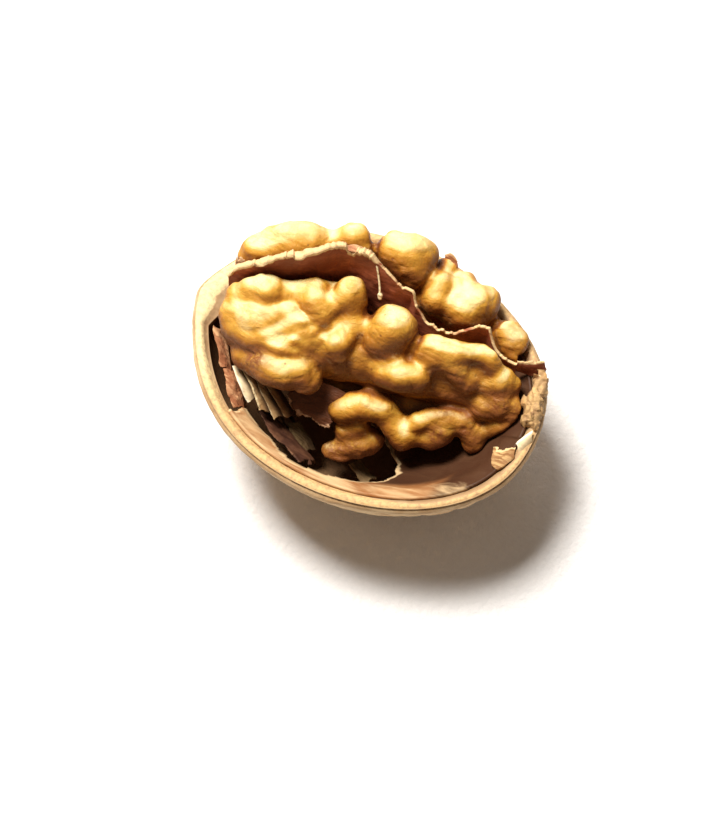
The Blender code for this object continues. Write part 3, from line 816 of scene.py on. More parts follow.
@dataclass(frozen=True)
class SeedFinish:
    """The seed's thin skin: golden, creamy on the folds and brown in the valleys between them, with highlight
    painted cream on the folds that face the light and shade painted brown on the sides turned from it and in
    the valleys.
    """

    gold: Colour = colour(0.64, 0.335, 0.045)
    # cream is the skin's pale tone, here mostly painted highlight on tops facing the light, and the pale
    # streaks
    cream: Colour = colour(1.0, 0.84, 0.42)
    # brown is painted shade deep in the valleys, and the fine dark specks
    brown: Colour = colour(0.12, 0.03, 0.008)
    # ochre is painted shade on sides turned from the light and in the valleys, and the veins
    ochre: Colour = colour(0.36, 0.130, 0.012)
    toasted: Colour = colour(0.22, 0.070, 0.018)
    # umber is painted shade on the sides turned farthest from the light
    shade_umber: Colour = colour(0.15, 0.040, 0.010)

    def make(self) -> bpy.types.Material:
        """The skin's material, which reads the marks "valley", "rise", "steep" and "toast"; the first three
        paint shade and highlight.

        Returns:
            The new material.
        """
        made, nodes, shader = start_material("seed_skin_waxy")
        blotch = nodes.noise(2.6, 4, warp=0.5)
        fine = nodes.noise(0.45, 5, 0.6)
        wrinkle = nodes.noise(1.3, 4, 0.6, stretch=(0.6, 1, 1), warp=1.0)
        veins = nodes.noise(3.4, 2, 0.45, stretch=(0.5, 1, 0.8), warp=0.5)
        vein = nodes.step(nodes.math("ABSOLUTE", nodes.math("SUBTRACT", veins, 0.5)), 0.09, 0.0)
        mottle = nodes.math("ADD", nodes.math("MULTIPLY", blotch, 0.6), nodes.math("MULTIPLY", wrinkle, 0.4))
        mottle = nodes.math("MULTIPLY", nodes.math("SUBTRACT", mottle, 0.5), 1.2)
        top_highlight = nodes.math("ADD", nodes.mark("top_highlight"), mottle)
        # Painted highlight: cream where the fold is high and faces the painted light. Painted shade: ochre,
        # then umber, as the skin turns from it.
        uneven = nodes.math("ADD", nodes.mark("turned_from_light"),
                            nodes.math("MULTIPLY", nodes.math("SUBTRACT", blotch, 0.5), 0.35))
        high = nodes.math("MULTIPLY", nodes.step(top_highlight, 0.40, 1.00), nodes.step(uneven, 0.36, 0.02))
        skin = nodes.mix(high, self.gold, self.cream)
        hollow_shade = nodes.math("ADD", nodes.mark("hollow_shade"),
                            nodes.math("MULTIPLY", nodes.math("SUBTRACT", fine, 0.5), 0.35))
        skin = nodes.mix(nodes.math("MULTIPLY", nodes.step(uneven, 0.26, 0.66), 0.85), skin, self.ochre)
        skin = nodes.mix(nodes.math("MULTIPLY", nodes.step(uneven, 0.54, 1.02), 0.92), skin, self.shade_umber)
        streak = nodes.noise(0.42, 3, 0.6, stretch=(0.22, 1, 1), warp=0.4)
        hollow = nodes.math("MULTIPLY", nodes.step(hollow_shade, 0.18, 0.42), nodes.step(hollow_shade, 0.85, 0.55))
        streaks = nodes.math("MULTIPLY", hollow, nodes.step(streak, 0.52, 0.66))
        skin = nodes.mix(nodes.math("MULTIPLY", streaks, 0.12), skin, self.cream)
        # Painted shade in the valleys between folds: ochre, then brown, over the skin's own browner hollows
        skin = nodes.mix(nodes.step(hollow_shade, 0.40, 0.95), skin, self.ochre)
        skin = nodes.mix(nodes.step(hollow_shade, 0.80, 1.25), skin, self.brown)
        skin = nodes.mix(nodes.math("MULTIPLY", vein, 0.22), skin, self.ochre)
        toast = nodes.math("MULTIPLY", nodes.mark("toast"), nodes.step(fine, 0.12, 0.60))
        skin = nodes.mix(toast, skin, self.toasted)
        spots = nodes.add("ShaderNodeTexVoronoi")
        nodes.put(spots.inputs["Vector"], nodes.place())
        spots.inputs["Scale"].default_value = 1 / (2.3 * MM)
        pin = nodes.step(spots.outputs["Distance"], 0.085, 0.05)
        skin = nodes.mix(nodes.math("MULTIPLY", pin, 0.55), skin, self.brown)
        nodes.put(shader.inputs["Base Color"], skin)
        nodes.put(shader.inputs["Roughness"], nodes.math("ADD", nodes.math("MULTIPLY", fine, 0.20), 0.38))
        height = nodes.math("ADD", nodes.math("MULTIPLY", fine, 0.6), nodes.math("MULTIPLY", vein, 0.25))
        height = nodes.math("ADD", height, nodes.math("MULTIPLY", wrinkle, 1.1))
        nodes.put(shader.inputs["Normal"], nodes.bump(height, 0.20))
        shader.inputs["Specular Tint"].default_value = colour(1.0, 0.92, 0.76)
        shader.inputs["Coat Tint"].default_value = colour(1.0, 0.90, 0.70)
        shader.inputs["Subsurface Weight"].default_value = 0.12
        shader.inputs["Subsurface Radius"].default_value = (1.0, 0.45, 0.15)
        shader.inputs["Subsurface Scale"].default_value = 1.2 * MM
        shader.inputs["Specular IOR Level"].default_value = 0.32
        shader.inputs["Coat Weight"].default_value = 0.07
        shader.inputs["Coat Roughness"].default_value = 0.28
        return made


@dataclass(frozen=True)
class WoodFinish:
    """The shell's wood: tan outside, cream on the broken seam, brown inside, dark in cracks, and painted dark
    as shade in the crevice and the groove under the rim.
    """

    name: str = "shell_wood_dry"
    tan: Colour = colour(0.50, 0.31, 0.15)
    pale: Colour = colour(0.66, 0.47, 0.26)
    cream: Colour = colour(0.88, 0.70, 0.36)
    honey: Colour = colour(0.72, 0.47, 0.21)
    inside: Colour = colour(0.20, 0.095, 0.042)
    dark: Colour = colour(0.10, 0.045, 0.02)

    def make(self, fibre: bpy.types.NodeTree) -> bpy.types.Material:
        """The wood's material, which reads the marks "rim", "bleach", "seam" and "within"; "seam" carries
        painted shade in the shell's crevice and groove and the broken wood's own dark cracks.

        Args:
            fibre: the shared node group for dry tissue.

        Returns:
            The new material.
        """
        made, nodes, shader = start_material(self.name)
        tissue = nodes.add("ShaderNodeGroup", node_tree=fibre)
        tissue.inputs["Scale"].default_value = 1800.0
        fine, blotch = tissue.outputs["Fibre"], tissue.outputs["Blotch"]
        grain = nodes.noise(0.5, 5, 0.65)
        outer = nodes.mix(nodes.step(blotch, 0.35, 0.65), self.tan, self.pale)
        outer = nodes.mix(nodes.math("MULTIPLY", nodes.step(fine, 0.55, 0.3), 0.5), outer, self.tan)
        body = nodes.mix(nodes.mark("within"), outer, self.inside)
        worn = nodes.math("MULTIPLY", nodes.math("SUBTRACT", grain, 0.5), 0.5)
        rim = nodes.math("ADD", nodes.mark("rim"), worn)
        bright = nodes.mix(nodes.mark("bleach"), self.honey, self.cream)
        dull = nodes.mix(nodes.mark("bleach"), self.tan, self.pale)
        rim_wood = nodes.mix(nodes.step(grain, 0.34, 0.60), dull, bright)
        body = nodes.mix(nodes.step(rim, 0.35, 0.65), body, rim_wood)
        # Dark where marked: painted shade in the shell's crevice and groove, and the broken wood's own dark
        # cracks
        seam = nodes.math("MULTIPLY", nodes.mark("seam"), nodes.step(grain, 0.2, 0.6))
        nodes.put(shader.inputs["Base Color"], nodes.mix(seam, body, self.dark))
        nodes.put(shader.inputs["Roughness"], nodes.math("ADD", nodes.math("MULTIPLY", grain, 0.3), 0.5))
        nodes.put(shader.inputs["Normal"], nodes.bump(nodes.math("ADD", grain, fine), 0.08))
        shader.inputs["Specular IOR Level"].default_value = 0.25
        return made


@dataclass
class Finishes:
    """Every finish of the nut, made once."""

    fibre: bpy.types.NodeTree = field(default_factory=fibre_group)

    def __post_init__(self) -> None:
        """Make the materials."""
        self.wood = WoodFinish().make(self.fibre)
        self.crumb = WoodFinish("broken_wood", colour(0.36, 0.20, 0.09), colour(0.50, 0.31, 0.14),
                                colour(0.70, 0.47, 0.21), colour(0.54, 0.30, 0.11),
                                dark=colour(0.10, 0.035, 0.012)).make(self.fibre)
        self.seed = SeedFinish().make()
        sheets = {
            Tissue.LINING: SheetFinish("lining_dry", colour(0.48, 0.23, 0.09), colour(0.32, 0.13, 0.045),
                                       colour(0.68, 0.47, 0.25), 0.5, 0.08, 1100.0),
            Tissue.WALL: SheetFinish("wall_paper", colour(0.44, 0.130, 0.058), colour(0.25, 0.064, 0.030),
                                     colour(0.80, 0.54, 0.27), 0.5, 0.08),
            Tissue.SCRAP: SheetFinish("torn_scrap", colour(0.72, 0.52, 0.27), colour(0.42, 0.24, 0.10),
                                      colour(0.85, 0.68, 0.40), 0.65, 0.16, 3000.0),
            Tissue.FLAP: SheetFinish("red_brown_flap", colour(0.80, 0.46, 0.23), colour(0.34, 0.125, 0.055),
                                     colour(0.72, 0.46, 0.24), 0.6, 0.28, 1900.0, 0.95),
            Tissue.OLIVE: SheetFinish("olive_shred", colour(0.26, 0.17, 0.075), colour(0.11, 0.062, 0.028),
                                      colour(0.36, 0.26, 0.12), 0.7, 0.14, 3600.0),
            Tissue.CHIP: SheetFinish("broken_chip", colour(0.62, 0.39, 0.17), colour(0.26, 0.115, 0.04),
                                     colour(0.78, 0.57, 0.30), 0.65, 0.18, 2400.0, 0.9),
            Tissue.DUSK: SheetFinish("dark_fold", colour(0.15, 0.064, 0.032), colour(0.06, 0.023, 0.013),
                                     colour(0.46, 0.26, 0.14), 0.6, 0.14, 2600.0),
            # A near-black sheet: painted shade in a crack of the shell
            Tissue.CRACK_SHADE: SheetFinish("crack_shade_sheet", colour(0.020, 0.010, 0.007), colour(0.012, 0.006, 0.005),
                                     colour(0.05, 0.03, 0.02), 0.8, 0.10),
            Tissue.PALE: SheetFinish("pale_flake", colour(0.82, 0.66, 0.42), colour(0.66, 0.48, 0.26),
                                     colour(0.90, 0.80, 0.60), 0.6, 0.06, 2600.0),
            Tissue.FILM: SheetFinish("brown_film", colour(0.20, 0.072, 0.030), colour(0.10, 0.034, 0.015),
                                     colour(0.62, 0.36, 0.20), 0.5, 0.14, 3200.0),
        }
        self.sheets = {tissue: finish.make(self.fibre) for tissue, finish in sheets.items()}


# The nut


def plan(angle: Array, ring: Array) -> Array:
    """The shell's plan, at an angle from +X and a share of the rim's size.

    x = half length * ring * cos, and y = half width * ring * |sin|^(1 + bend * cos^2 * ring^2) with the sign
    of sin. The bend is larger at the tip, which makes it a blunt point there.

    Args:
        angle: angles from +X.
        ring: shares of the rim's size, 0 in the middle.

    Returns:
        Places (..., 3) at height 0.
    """
    along, across = np.cos(angle), np.sin(angle)
    half = np.where(along < 0, HALF_LENGTH, STEM_HALF_LENGTH)
    bend = np.where(along < 0, TIP_PINCH, STEM_BLUNT)
    power = 1 + bend * along ** 2 * ring ** 2
    y = HALF_WIDTH * ring * np.sign(across) * np.abs(across) ** power
    return np.stack([half * ring * along, y, np.zeros_like(y)], axis=-1)


def unit(points: Array) -> Array:
    """Unit vectors along the given ones."""
    return points / np.maximum(np.linalg.norm(points, axis=-1, keepdims=True), 1e-9)


def wall_at(edge: Array) -> Array:
    """The shell's thickness: more towards the tip, on the far side only.

    Args:
        edge: places on the rim, (..., 3).

    Returns:
        A thickness for each place.
    """
    near = np.clip((edge[..., 1] + 3.6) / 2.4, 0, 1)
    share = near * np.clip((-edge[..., 0] / HALF_LENGTH - 0.80) / 0.12, 0, 1)
    return WALL + (WALL_AT_TIP - WALL) * share


def lining_edge(angle: Array) -> tuple[Array, Array]:
    """The rim, and the lining's edge a wall's thickness and a gap inside it.

    Args:
        angle: angles from +X.

    Returns:
        Places on the rim and places on the lining's edge, both (..., 3).
    """
    rim = plan(angle, np.ones_like(angle))
    return rim, rim - unit(rim) * ((wall_at(rim) + GAP) * LINING_INSET)[..., None]


def lining_height(x: Array, y: Array) -> Array:
    """The lining's height: its profile at the place's share of the way to the lining's edge.

    Args:
        x: places along the nut.
        y: places across it.

    Returns:
        A height for each place.
    """
    _, inner = lining_edge(np.arctan2(y / HALF_WIDTH, x / HALF_LENGTH))
    share = np.hypot(x, y) / np.maximum(np.hypot(inner[..., 0], inner[..., 1]), 1e-6)
    table = np.array(LINING_PROFILE)[::-1]
    return np.interp(share, table[:, 0], table[:, 1])


def divider_y(x: Array, z: Array) -> Array:
    """The dividing wall's place across the nut: a straight line from foot to top, with a slow sway.

    Args:
        x: places along the nut.
        z: heights.

    Returns:
        A place across the nut for each.
    """
    foot_y, foot_z = polyline(x, WALL_FOOT)
    top_y, top_z = polyline(x, WALL_TOP)
    up = (z - foot_z) / (top_z - foot_z)
    turn = np.sin(WALL_SWAY_TURNS * (x - WALL_START) / WALL_SPAN)
    sway = WALL_SWAY * np.sin(math.pi * np.clip(up, 0, 1)) * turn
    return foot_y + (top_y - foot_y) * np.clip(up, 0, 1.4) + sway


@dataclass
class Shell:
    """The woody half shell, with its band, its grooves and its cream broken seam."""

    around: int = 520
    relief: float = 0.30
    band: float = 0.36
    band_below: float = 0.95
    band_half: float = 0.62
    seam_cut: float = 0.30
    seam_below: float = 0.26
    seam_half: float = 0.14
    groove_cut: float = 0.26
    groove_below: float = 2.3
    groove_half: float = 0.45
    grain: float = 0.05
    crown: float = 0.14
    chipped: float = 0.14
    slope: float = 0.8
    slope_reach: float = 6.0
    crumb_step: float = 0.13
    crumb_size: float = 0.92

    def rows(self) -> tuple[Array, Array, Array]:
        """The profile from the flat spot's middle, up the outside, over the rim and down the inside.

        Returns:
            Degrees below the rim's plane, shares of the way through the wall, and shares of the flat spot.
        """
        flat = math.degrees(math.asin(RIM_HEIGHT / BOWL_DEPTH))
        outer = np.concatenate([np.linspace(flat, 12, 46), np.linspace(11.6, 0, 42)])
        over = np.linspace(0.04, 0.96, 14)
        inner = np.concatenate([np.linspace(0, 6, 10), np.linspace(8, flat, 30)])
        degrees = np.concatenate([[flat] * 5, outer, np.zeros_like(over), inner, [flat] * 3])
        through = np.concatenate([np.zeros(5 + len(outer)), over, np.ones(len(inner) + 3)])
        inwards = np.concatenate([[0.0, 0.25, 0.5, 0.75, 0.93], np.ones(len(outer) + len(over) + len(inner)),
                                  [0.66, 0.33, 0.0]])
        return degrees, through, inwards

    def surface(self) -> Surface:
        """The shell's closed surface.

        A point is the plan at ring = cos(degrees)^power, at the height rim - depth * sin(degrees), moved out
        by the relief and in by the wall's thickness.

        Returns:
            The surface, with the marks that its wood reads: the broken rim, where that is bleached, the dark
            seams and the brown inside.
        """
        degrees, through, inwards = self.rows()
        angle = np.linspace(0, math.tau, self.around, endpoint=False)
        below = np.radians(degrees)[:, None] + 0 * angle
        turn = 0 * below + angle
        ring = np.cos(below) ** BOWL_POWER * inwards[:, None]
        height = RIM_HEIGHT - BOWL_DEPTH * np.sin(below)
        through = through[:, None] + 0 * turn
        place = plan(turn, ring)
        outward = unit(place)
        depth = RIM_HEIGHT - height
        sine = depth / BOWL_DEPTH
        wall = WALL + (wall_at(place) - WALL) * np.clip(1 - depth / TIP_FADE, 0, 1)
        outside = (through < 0.02) * (inwards[:, None] > 0.99)
        noisy = np.stack([place[..., 0], place[..., 1], height], axis=-1)
        stands = self.band * hump(depth - self.band_below, self.band_half) * (1 + 0.25 * noise(noisy, 3.0, 5))
        stands -= (self.seam_cut * hump(depth - self.seam_below, self.seam_half)
                   + self.groove_cut * hump(depth - self.groove_below, self.groove_half))
        net = 1 - 2 * np.abs(noise(noisy * (0.5, 1, 1), 2.6, 9))
        fade = ramp(depth, 2.4, 4.2) * ramp(height, 0.0, 2.0)
        waves = 0.6 * noise(noisy * (0.45, 1, 1), 3.4, 3) - 0.5 * np.clip(net, 0, 1) ** 3
        stands += self.relief * fade * waves
        fine = rough_noise(noisy, 0.9, 2, 21)
        stands += self.grain * ramp(depth, 0.4, 1.0) * fine * ramp(height, 0, 1.5)
        out = outside * stands - through * wall * np.sqrt(np.maximum(1 - sine ** 2, 0))
        points = place + outward * out[..., None]
        points[..., 2] = height + through * WALL * sine
        rim = (degrees[:, None] < 0.01) * np.ones_like(turn)
        slope = ramp(through, 0.40, 1.0) * (through < 0.99)
        slope = slope + (through >= 0.99) * ramp(depth, self.slope_reach, 0.0)
        crown = rim * self.crown * hump(through, 0.10) + self.slope * slope
        chips = rim * self.chipped * np.clip(rough_noise(noisy, 1.3, 3, 31), 0, 1)
        points[..., 2] -= crown + chips
        stem = ramp(place[..., 0], 6.0, 13.0)
        narrower = 0.30 * (stem - 0.6 * ramp(-place[..., 1], 6.0, 10.0) * (1 - stem))
        # Painted shade: dark lines in the crevice under the rim and in the groove below it
        crevice_shade = hump(depth - 0.27, 0.13) + 0.85 * hump(depth - 2.35, 0.3)
        broken = rim * (1 - ramp(through + narrower, 0.45, 0.85)) * (1 - 0.4 * hump(through, 0.06))
        marks = {
            "rim": np.clip(broken, 0, 1),
            "bleach": ramp(-place[..., 0], -2.0, 12.0) * ramp(-np.abs(place[..., 1] + 1.0), -12.0, -6.0),
            "seam": np.clip(outside * crevice_shade, 0, 1),
            "within": ramp(through + narrower, 0.45, 0.95) * (0.45 + 0.55 * ramp(depth, 0.2, 1.6)),
        }
        return Surface(points.reshape(-1, 3), grid_faces(len(degrees), self.around, True), marks)

    def build(self, finishes: Finishes) -> list[bpy.types.Object]:
        """The shell and the broken wood on its stem end.

        Args:
            finishes: the nut's finishes.

        Returns:
            The two objects.
        """
        shell = self.surface().build("shell_body", finishes.wood)
        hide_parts("shell_half")
        return [shell, self.crumbs(finishes)]

    def crumbs(self, finishes: Finishes) -> bpy.types.Object:
        """Broken wood: chains of lumps, split into upright slabs by a turned lattice, with cracks and noise.

        Args:
            finishes: the nut's finishes.

        Returns:
            The broken wood's object.
        """
        table = np.concatenate([np.array(chain) for chain in CRUMBS])
        solid = Field(table[:, :3].min(0) - 2.0, table[:, :3].max(0) + 2.0, self.crumb_step)
        for chain in CRUMBS:
            solid.add_chain(tuple((x, y, z, r * self.crumb_size) for x, y, z, r in chain), 0.4)
        places = solid.places()
        cracks = np.clip(1 - 4 * np.abs(noise(places * (1, 1, 0.22), 0.8, 45)), 0, 1)
        turned = places @ Matrix.Rotation(0.5, 3, Vector((0.15, 0.1, 1.0)))
        slabs = lattice(np.floor(turned / (0.75, 0.95, 2.6)).astype(np.int64), 46)
        bumps = 0.20 * rough_noise(places * (1, 1, 0.5), 0.9, 4, 41) + 0.23 * slabs + 0.16 * cracks
        solid.values += bumps.astype(np.float32)
        surface = solid.surface()
        at = surface.points
        cracked = np.clip(1 - 5 * np.abs(noise(at * (1, 1, 0.22), 0.8, 45)), 0, 1)
        surface.marks = {
            "rim": 0.55 + 0.4 * noise(at, 0.7, 43),
            "bleach": 0.5 + 0.5 * noise(at, 1.2, 47),
            "seam": np.clip(0.7 * cracked + ramp(noise(at, 0.6, 44), 0.40, 0.7), 0, 1) * 0.7,
            "within": np.zeros(len(at)),
        }
        return surface.build("broken_wood_ridge", finishes.crumb)


@dataclass
class Lining:
    """The thin smooth lining inside the shell, torn open beside the seed."""

    around: int = 420
    rows: int = 90
    thickness: float = 0.35
    lift: float = 0.30
    lip_reach: float = 0.62
    lip_drop: float = 0.35
    hole: tuple[float, float] = (-2.2, -7.0)
    hole_half: tuple[float, float] = (9.7, 6.0)
    hole_turn: float = math.radians(-8)
    ledge: float = 0.20

    def build(self, finishes: Finishes) -> list[bpy.types.Object]:
        """The lining: the profile turned round the plan, with slow waves and a ragged hole.

        Args:
            finishes: the nut's finishes.

        Returns:
            The lining's object.
        """
        angle = np.linspace(0, math.tau, self.around + 1)[None, :]
        share = np.linspace(0.02, 1, self.rows)[:, None] ** 0.8
        table = np.array(LINING_PROFILE)[::-1]
        height = np.interp(share, table[:, 0], table[:, 1]) + 0 * angle
        edge, inner = lining_edge(angle)
        points = inner * share[..., None]
        points[..., 2] = height
        lip = ramp(share, 0.93, 1.0) ** 2 * (1 - 0.9 * hump(angle - math.tau * 0.53, 0.16))
        points += unit(edge) * (self.lip_reach * lip)[..., None]
        waves = 0.2 * noise(points, 6.0, 51) * np.clip((1 - share) * 4, 0, 1)
        points[..., 2] += waves + self.lift - self.lip_drop * lip
        moved = points[..., :2] - self.hole
        c, s = math.cos(self.hole_turn), math.sin(self.hole_turn)
        reach = np.hypot((moved[..., 0] * c + moved[..., 1] * s) / self.hole_half[0],
                         (moved[..., 1] * c - moved[..., 0] * s) / self.hole_half[1])
        turned = np.arctan2(moved[..., 1], moved[..., 0])
        reach = reach * (1 + self.ledge * hump(turned + 2.35, 0.38)) + 0.05 * rough_noise(points, 2.2, 3, 53)
        x, y, z = points[..., 0], points[..., 1], points[..., 2]
        reach = reach * (1 - ramp(-x, 9.6, 10.8) * ramp(-y, -2.0, 0.0) * ramp(y, -11.5, -10.2))
        quads = (reach[1:, 1:] + reach[:-1, :-1]) / 2
        outer = share + 0 * angle
        dry = ramp(-y, 5.0, 8.0) * np.maximum(0.42 * ramp(-x, -2.0, 5.0), 0.46 * ramp(outer, 0.82, 0.96))
        torn = 0.9 * hump(reach - 1, 0.05) + 0.4 * ramp(outer, 0.94, 1.0) * ramp(-x, -11.0, -8.0)
        # Painted shadow: the lining is painted dark low in the bowl beyond the roll, where the seed's shadow
        # falls, and towards the stem end
        deep = ramp(-z, -13.6, -12.0) * ramp(x, 4.0, 8.0)
        marks = {"edge": np.maximum(torn, dry),
                 "painted_shade": np.clip(0.92 * np.maximum(deep, ramp(x, 12.0, 14.0)), 0, 1)}
        surface = sheet(points, self.thickness, quads > 1, marks)
        lining = surface.build("lining_sheet", finishes.sheets[Tissue.LINING])
        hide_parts("shell_lining")
        return [lining]


@dataclass
class Divider:
    """The papery wall between the seed's lobes, with its torn cream edge."""

    along: int = 500
    up: int = 96
    ends: tuple[float, float] = (-17.0, 14.8)
    thickness: float = 0.25
    torn: float = 0.55
    over_lining: float = 0.6

    def build(self, finishes: Finishes) -> list[bpy.types.Object]:
        """The wall: straight lines from its foot to its top, with sway, creases and a jagged edge.

        Args:
            finishes: the nut's finishes.

        Returns:
            The wall's object.
        """
        x = np.linspace(*self.ends, self.along)[None, :]
        up = np.linspace(0, 1, self.up)[:, None]
        _, foot = polyline(x, WALL_FOOT)
        _, top = polyline(x, WALL_TOP)
        line = np.stack([x[0], 0 * x[0], 0 * x[0]], axis=-1)
        top = top - self.torn * np.clip(rough_noise(line, 0.9, 4, 61) + 0.3, 0, 1)[None, :]
        z = foot + (top - foot) * up
        y = divider_y(x + 0 * z, z)
        points = np.stack([x + 0 * z, y, z], axis=-1)
        points[..., 1] += 0.22 * noise(points * (1, 0, 0.7), 2.4, 63) + 0.06 * noise(points, 0.7, 64)
        down = top - z
        left = ramp(-x, 1.5, 4.0)
        rough = rough_noise(points, 1.1, 3, 65)
        thick = self.thickness + (0.50 + 0.32 * rough) * left * hump(down, 0.55) + 0.04 * hump(down, 0.25)
        pale = (0.66 + 0.45 * left) * hump(down, 0.26 + 0.45 * left) + 0.30 * rough * hump(down, 0.9)
        marks = {"edge": np.clip(pale, 0, 1)}
        window = np.hypot(points[..., 0] - WAIST_X, points[..., 2] - WAIST_Z) < WINDOW_RADIUS
        clear = lining_height(points[..., 0], points[..., 1]) + self.over_lining < points[..., 2]
        kept = (clear & ~window)[1:, 1:]
        wall = sheet(points, thick, kept, marks).build("divider_sheet", finishes.sheets[Tissue.WALL])
        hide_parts("dividing_wall")
        return [wall]


@dataclass
class Seed:
    """The seed: rounded folds on four lobes, parted by the dividing wall."""

    step: float = 0.21
    low: Place = (-18.4, -10.6, 3.6)
    high: Place = (18.4, 15.4, 24.6)
    gap: float = 0.62
    blend: float = 0.8
    crease_blend: float = 0.5
    core_blend: float = 1.2
    waist_blend: float = 1.0
    over_lining: float = 0.9
    near_reach: float = 0.7
    wide_reach: float = 1.8
    thin_reach: float = 1.1

    def solid(self) -> Field:
        """The field of the folds, cut by the dividing wall's slot and kept above the lining.

        Returns:
            The field.
        """
        made = Field(np.array(self.low), np.array(self.high), self.step)
        for chain in SEED_CORES:
            made.add_chain(chain, self.core_blend)
        made.add_chain(SEED_WAIST, self.waist_blend)
        for chain in NEAR_UPPER_FILL + NEAR_UPPER_FOLDS + NEAR_LOWER_FOLDS + FAR_UPPER_FOLDS:
            made.add_chain(chain, self.blend)
        for chain in NEAR_CREASES:
            made.add_chain(chain, self.crease_blend)
        places = made.places()
        x, y, z = places[..., 0], places[..., 1], places[..., 2]
        slot = self.gap - np.abs(y - divider_y(x, z)) * 0.92
        waist = WAIST_RADIUS - np.hypot(x - WAIST_X, z - WAIST_Z)
        made.cut(np.where(waist > 0, -1.0, slot).astype(np.float32), 0.5)
        made.cut(((lining_height(x, y) + self.over_lining - z) * 0.75).astype(np.float32), 0.4)
        return made

    def build(self, finishes: Finishes) -> list[bpy.types.Object]:
        """The seed's surface, with wrinkles along its normals and the marks that its skin reads.

        "valley" is how much nearer other folds are, a little way out, than on a flat face; it paints shade
        into the valleys, over the skin's own browner hollows. "rise" is how thin the fold is, and how high it
        faces; it paints highlight on the fold tops, over their own lighter skin. "steep" is how far the skin
        turns from the painted light's side, less in the highlighted patches; it paints shade on the sides
        turned away, over their own browner skin. "toast" marks the browner patches, and the skin low in the
        shell.

        Args:
            finishes: the nut's finishes.

        Returns:
            The seed's object.
        """
        solid = self.solid()
        surface = solid.surface()
        points = surface.points
        normals = solid.normals(points)
        near = 1 - solid.sample(points + normals * self.near_reach) / self.near_reach
        wide = 1 - solid.sample(points + normals * self.wide_reach) / self.wide_reach
        thin = 1 + solid.sample(points - normals * self.thin_reach) / self.thin_reach
        hidden = ramp(points[:, 1], 9.5, 12.5) * ramp(-points[:, 2], -20.0, -18.0)
        lumps = sum((height + more * hidden) * noise(points, size, kind)
                    for size, height, more, kind in LUMPS)
        creases = -0.10 * np.clip(1 - 5 * np.abs(noise(points * (0.6, 1, 0.8), 1.5, 73)), 0, 1)
        toast, highlighted = (np.max([strength * hump(np.linalg.norm(points - (x, y, z), axis=1), size)
                                for x, y, z, size, strength in table], axis=0) for table in (BROWNED, HIGHLIGHT_PATCHES))
        fine_lines = 0.16 * toast * noise(points * (0.35, 1, 1.3), 0.55, 74)
        surface.points = points + normals * (lumps + creases + fine_lines)[:, None]
        # Painted light in the marks: shade in the valleys and on skin turned from the light side, highlight
        # on high fold tops, over the skin's own lighter tops and browner hollows
        surface.marks = {
            "hollow_shade": np.clip(0.9 * near + 0.8 * wide, 0, 1.2),
            "top_highlight": np.clip(0.5 + 0.5 * thin + 0.35 * normals[:, 2] - 0.6 * wide, 0, 1),
            "turned_from_light": 1 - normals @ np.array(LIGHT_SIDE) - 0.34 * highlighted,
            "toast": np.clip(toast + 0.8 * ramp(-points[:, 2], -12.2, -9.0), 0, 1),
        }
        seed = surface.build("seed_lobes", finishes.seed)
        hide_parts("kernel")
        return [seed]


# Torn scraps

SCRAP_ALONG = 110
SCRAP_ACROSS = 44
SCRAP_DROP = 24


@dataclass(frozen=True)
class Scrap:
    """A torn scrap of dry tissue between an upper and a lower edge.

    "lip" is how pale its torn edge is, and "foot" how much shade is painted on it low down, in the gap under
    the scrap beside it. With a skirt, it goes on down to the shell's floor, which carries it.
    """

    name: str
    tissue: Tissue
    upper: tuple[Place, ...]
    lower: tuple[Place, ...]
    thickness: float = 0.22
    ragged: float = 0.22
    crumple: float = 0.30
    skirt: bool = False
    lip: float = 1.0
    foot: float = 0.0

    def build(self, finishes: Finishes, seed: int) -> bpy.types.Object:
        """The scrap: straight lines between two smooth curves, bulged and crumpled, with ragged ends.

        Args:
            finishes: the nut's finishes.
            seed: which noise to crumple it with.

        Returns:
            The scrap's object.
        """
        upper = curve_through(np.array(self.upper, float), SCRAP_ALONG)
        lower = curve_through(np.array(self.lower, float), SCRAP_ALONG)
        up = np.linspace(0, 1, SCRAP_ACROSS)[:, None, None]
        points = lower + (upper - lower) * up
        points[..., 2] += 0.25 * np.sin(math.pi * up[..., 0])
        if self.skirt:
            ground = lower + 0.35 * unit(lower - upper) * (1, 1, 0)
            ground[:, 2] = np.minimum(lining_height(ground[:, 0], ground[:, 1]) - 0.5, lower[:, 2] - 0.4)
            down = np.linspace(0, 1, SCRAP_DROP, endpoint=False)[:, None, None]
            points = np.concatenate([ground + (lower - ground) * down, points])
            up = np.concatenate([0 * down, up])
        crumple = self.crumple * rough_noise(points, 2.6, 3, seed)
        crumple += 0.12 * noise(points * (0.4, 0.4, 1), 0.9, seed + 7)
        points = points + grid_normals(points) * (crumple * (0.3 + 0.7 * up[..., 0]))[..., None]
        line = np.linspace(0, 1, SCRAP_ALONG)[None, :]
        height = up[..., 0] + 0 * line
        torn = np.clip(self.ragged * (0.45 + 0.55 * rough_noise(points, 1.5, 4, seed + 3)), 0, 1)
        ends = 0.08 * (1 + rough_noise(points, 1.2, 3, seed + 5))
        kept = (height < 1 - torn) & (line > ends) & (line < 1 - ends)
        edge = hump((1 - torn - height) * np.linalg.norm(upper - lower, axis=1), 0.35)
        # Painted shade: darker low on the scrap, as much as foot asks
        marks = {"edge": edge * self.lip, "painted_shade": self.foot * ramp(-height, -0.80, -0.30)}
        scrap = sheet(points, self.thickness, kept[1:, 1:] & kept[:-1, :-1], marks)
        return scrap.build(self.name, finishes.sheets[self.tissue])


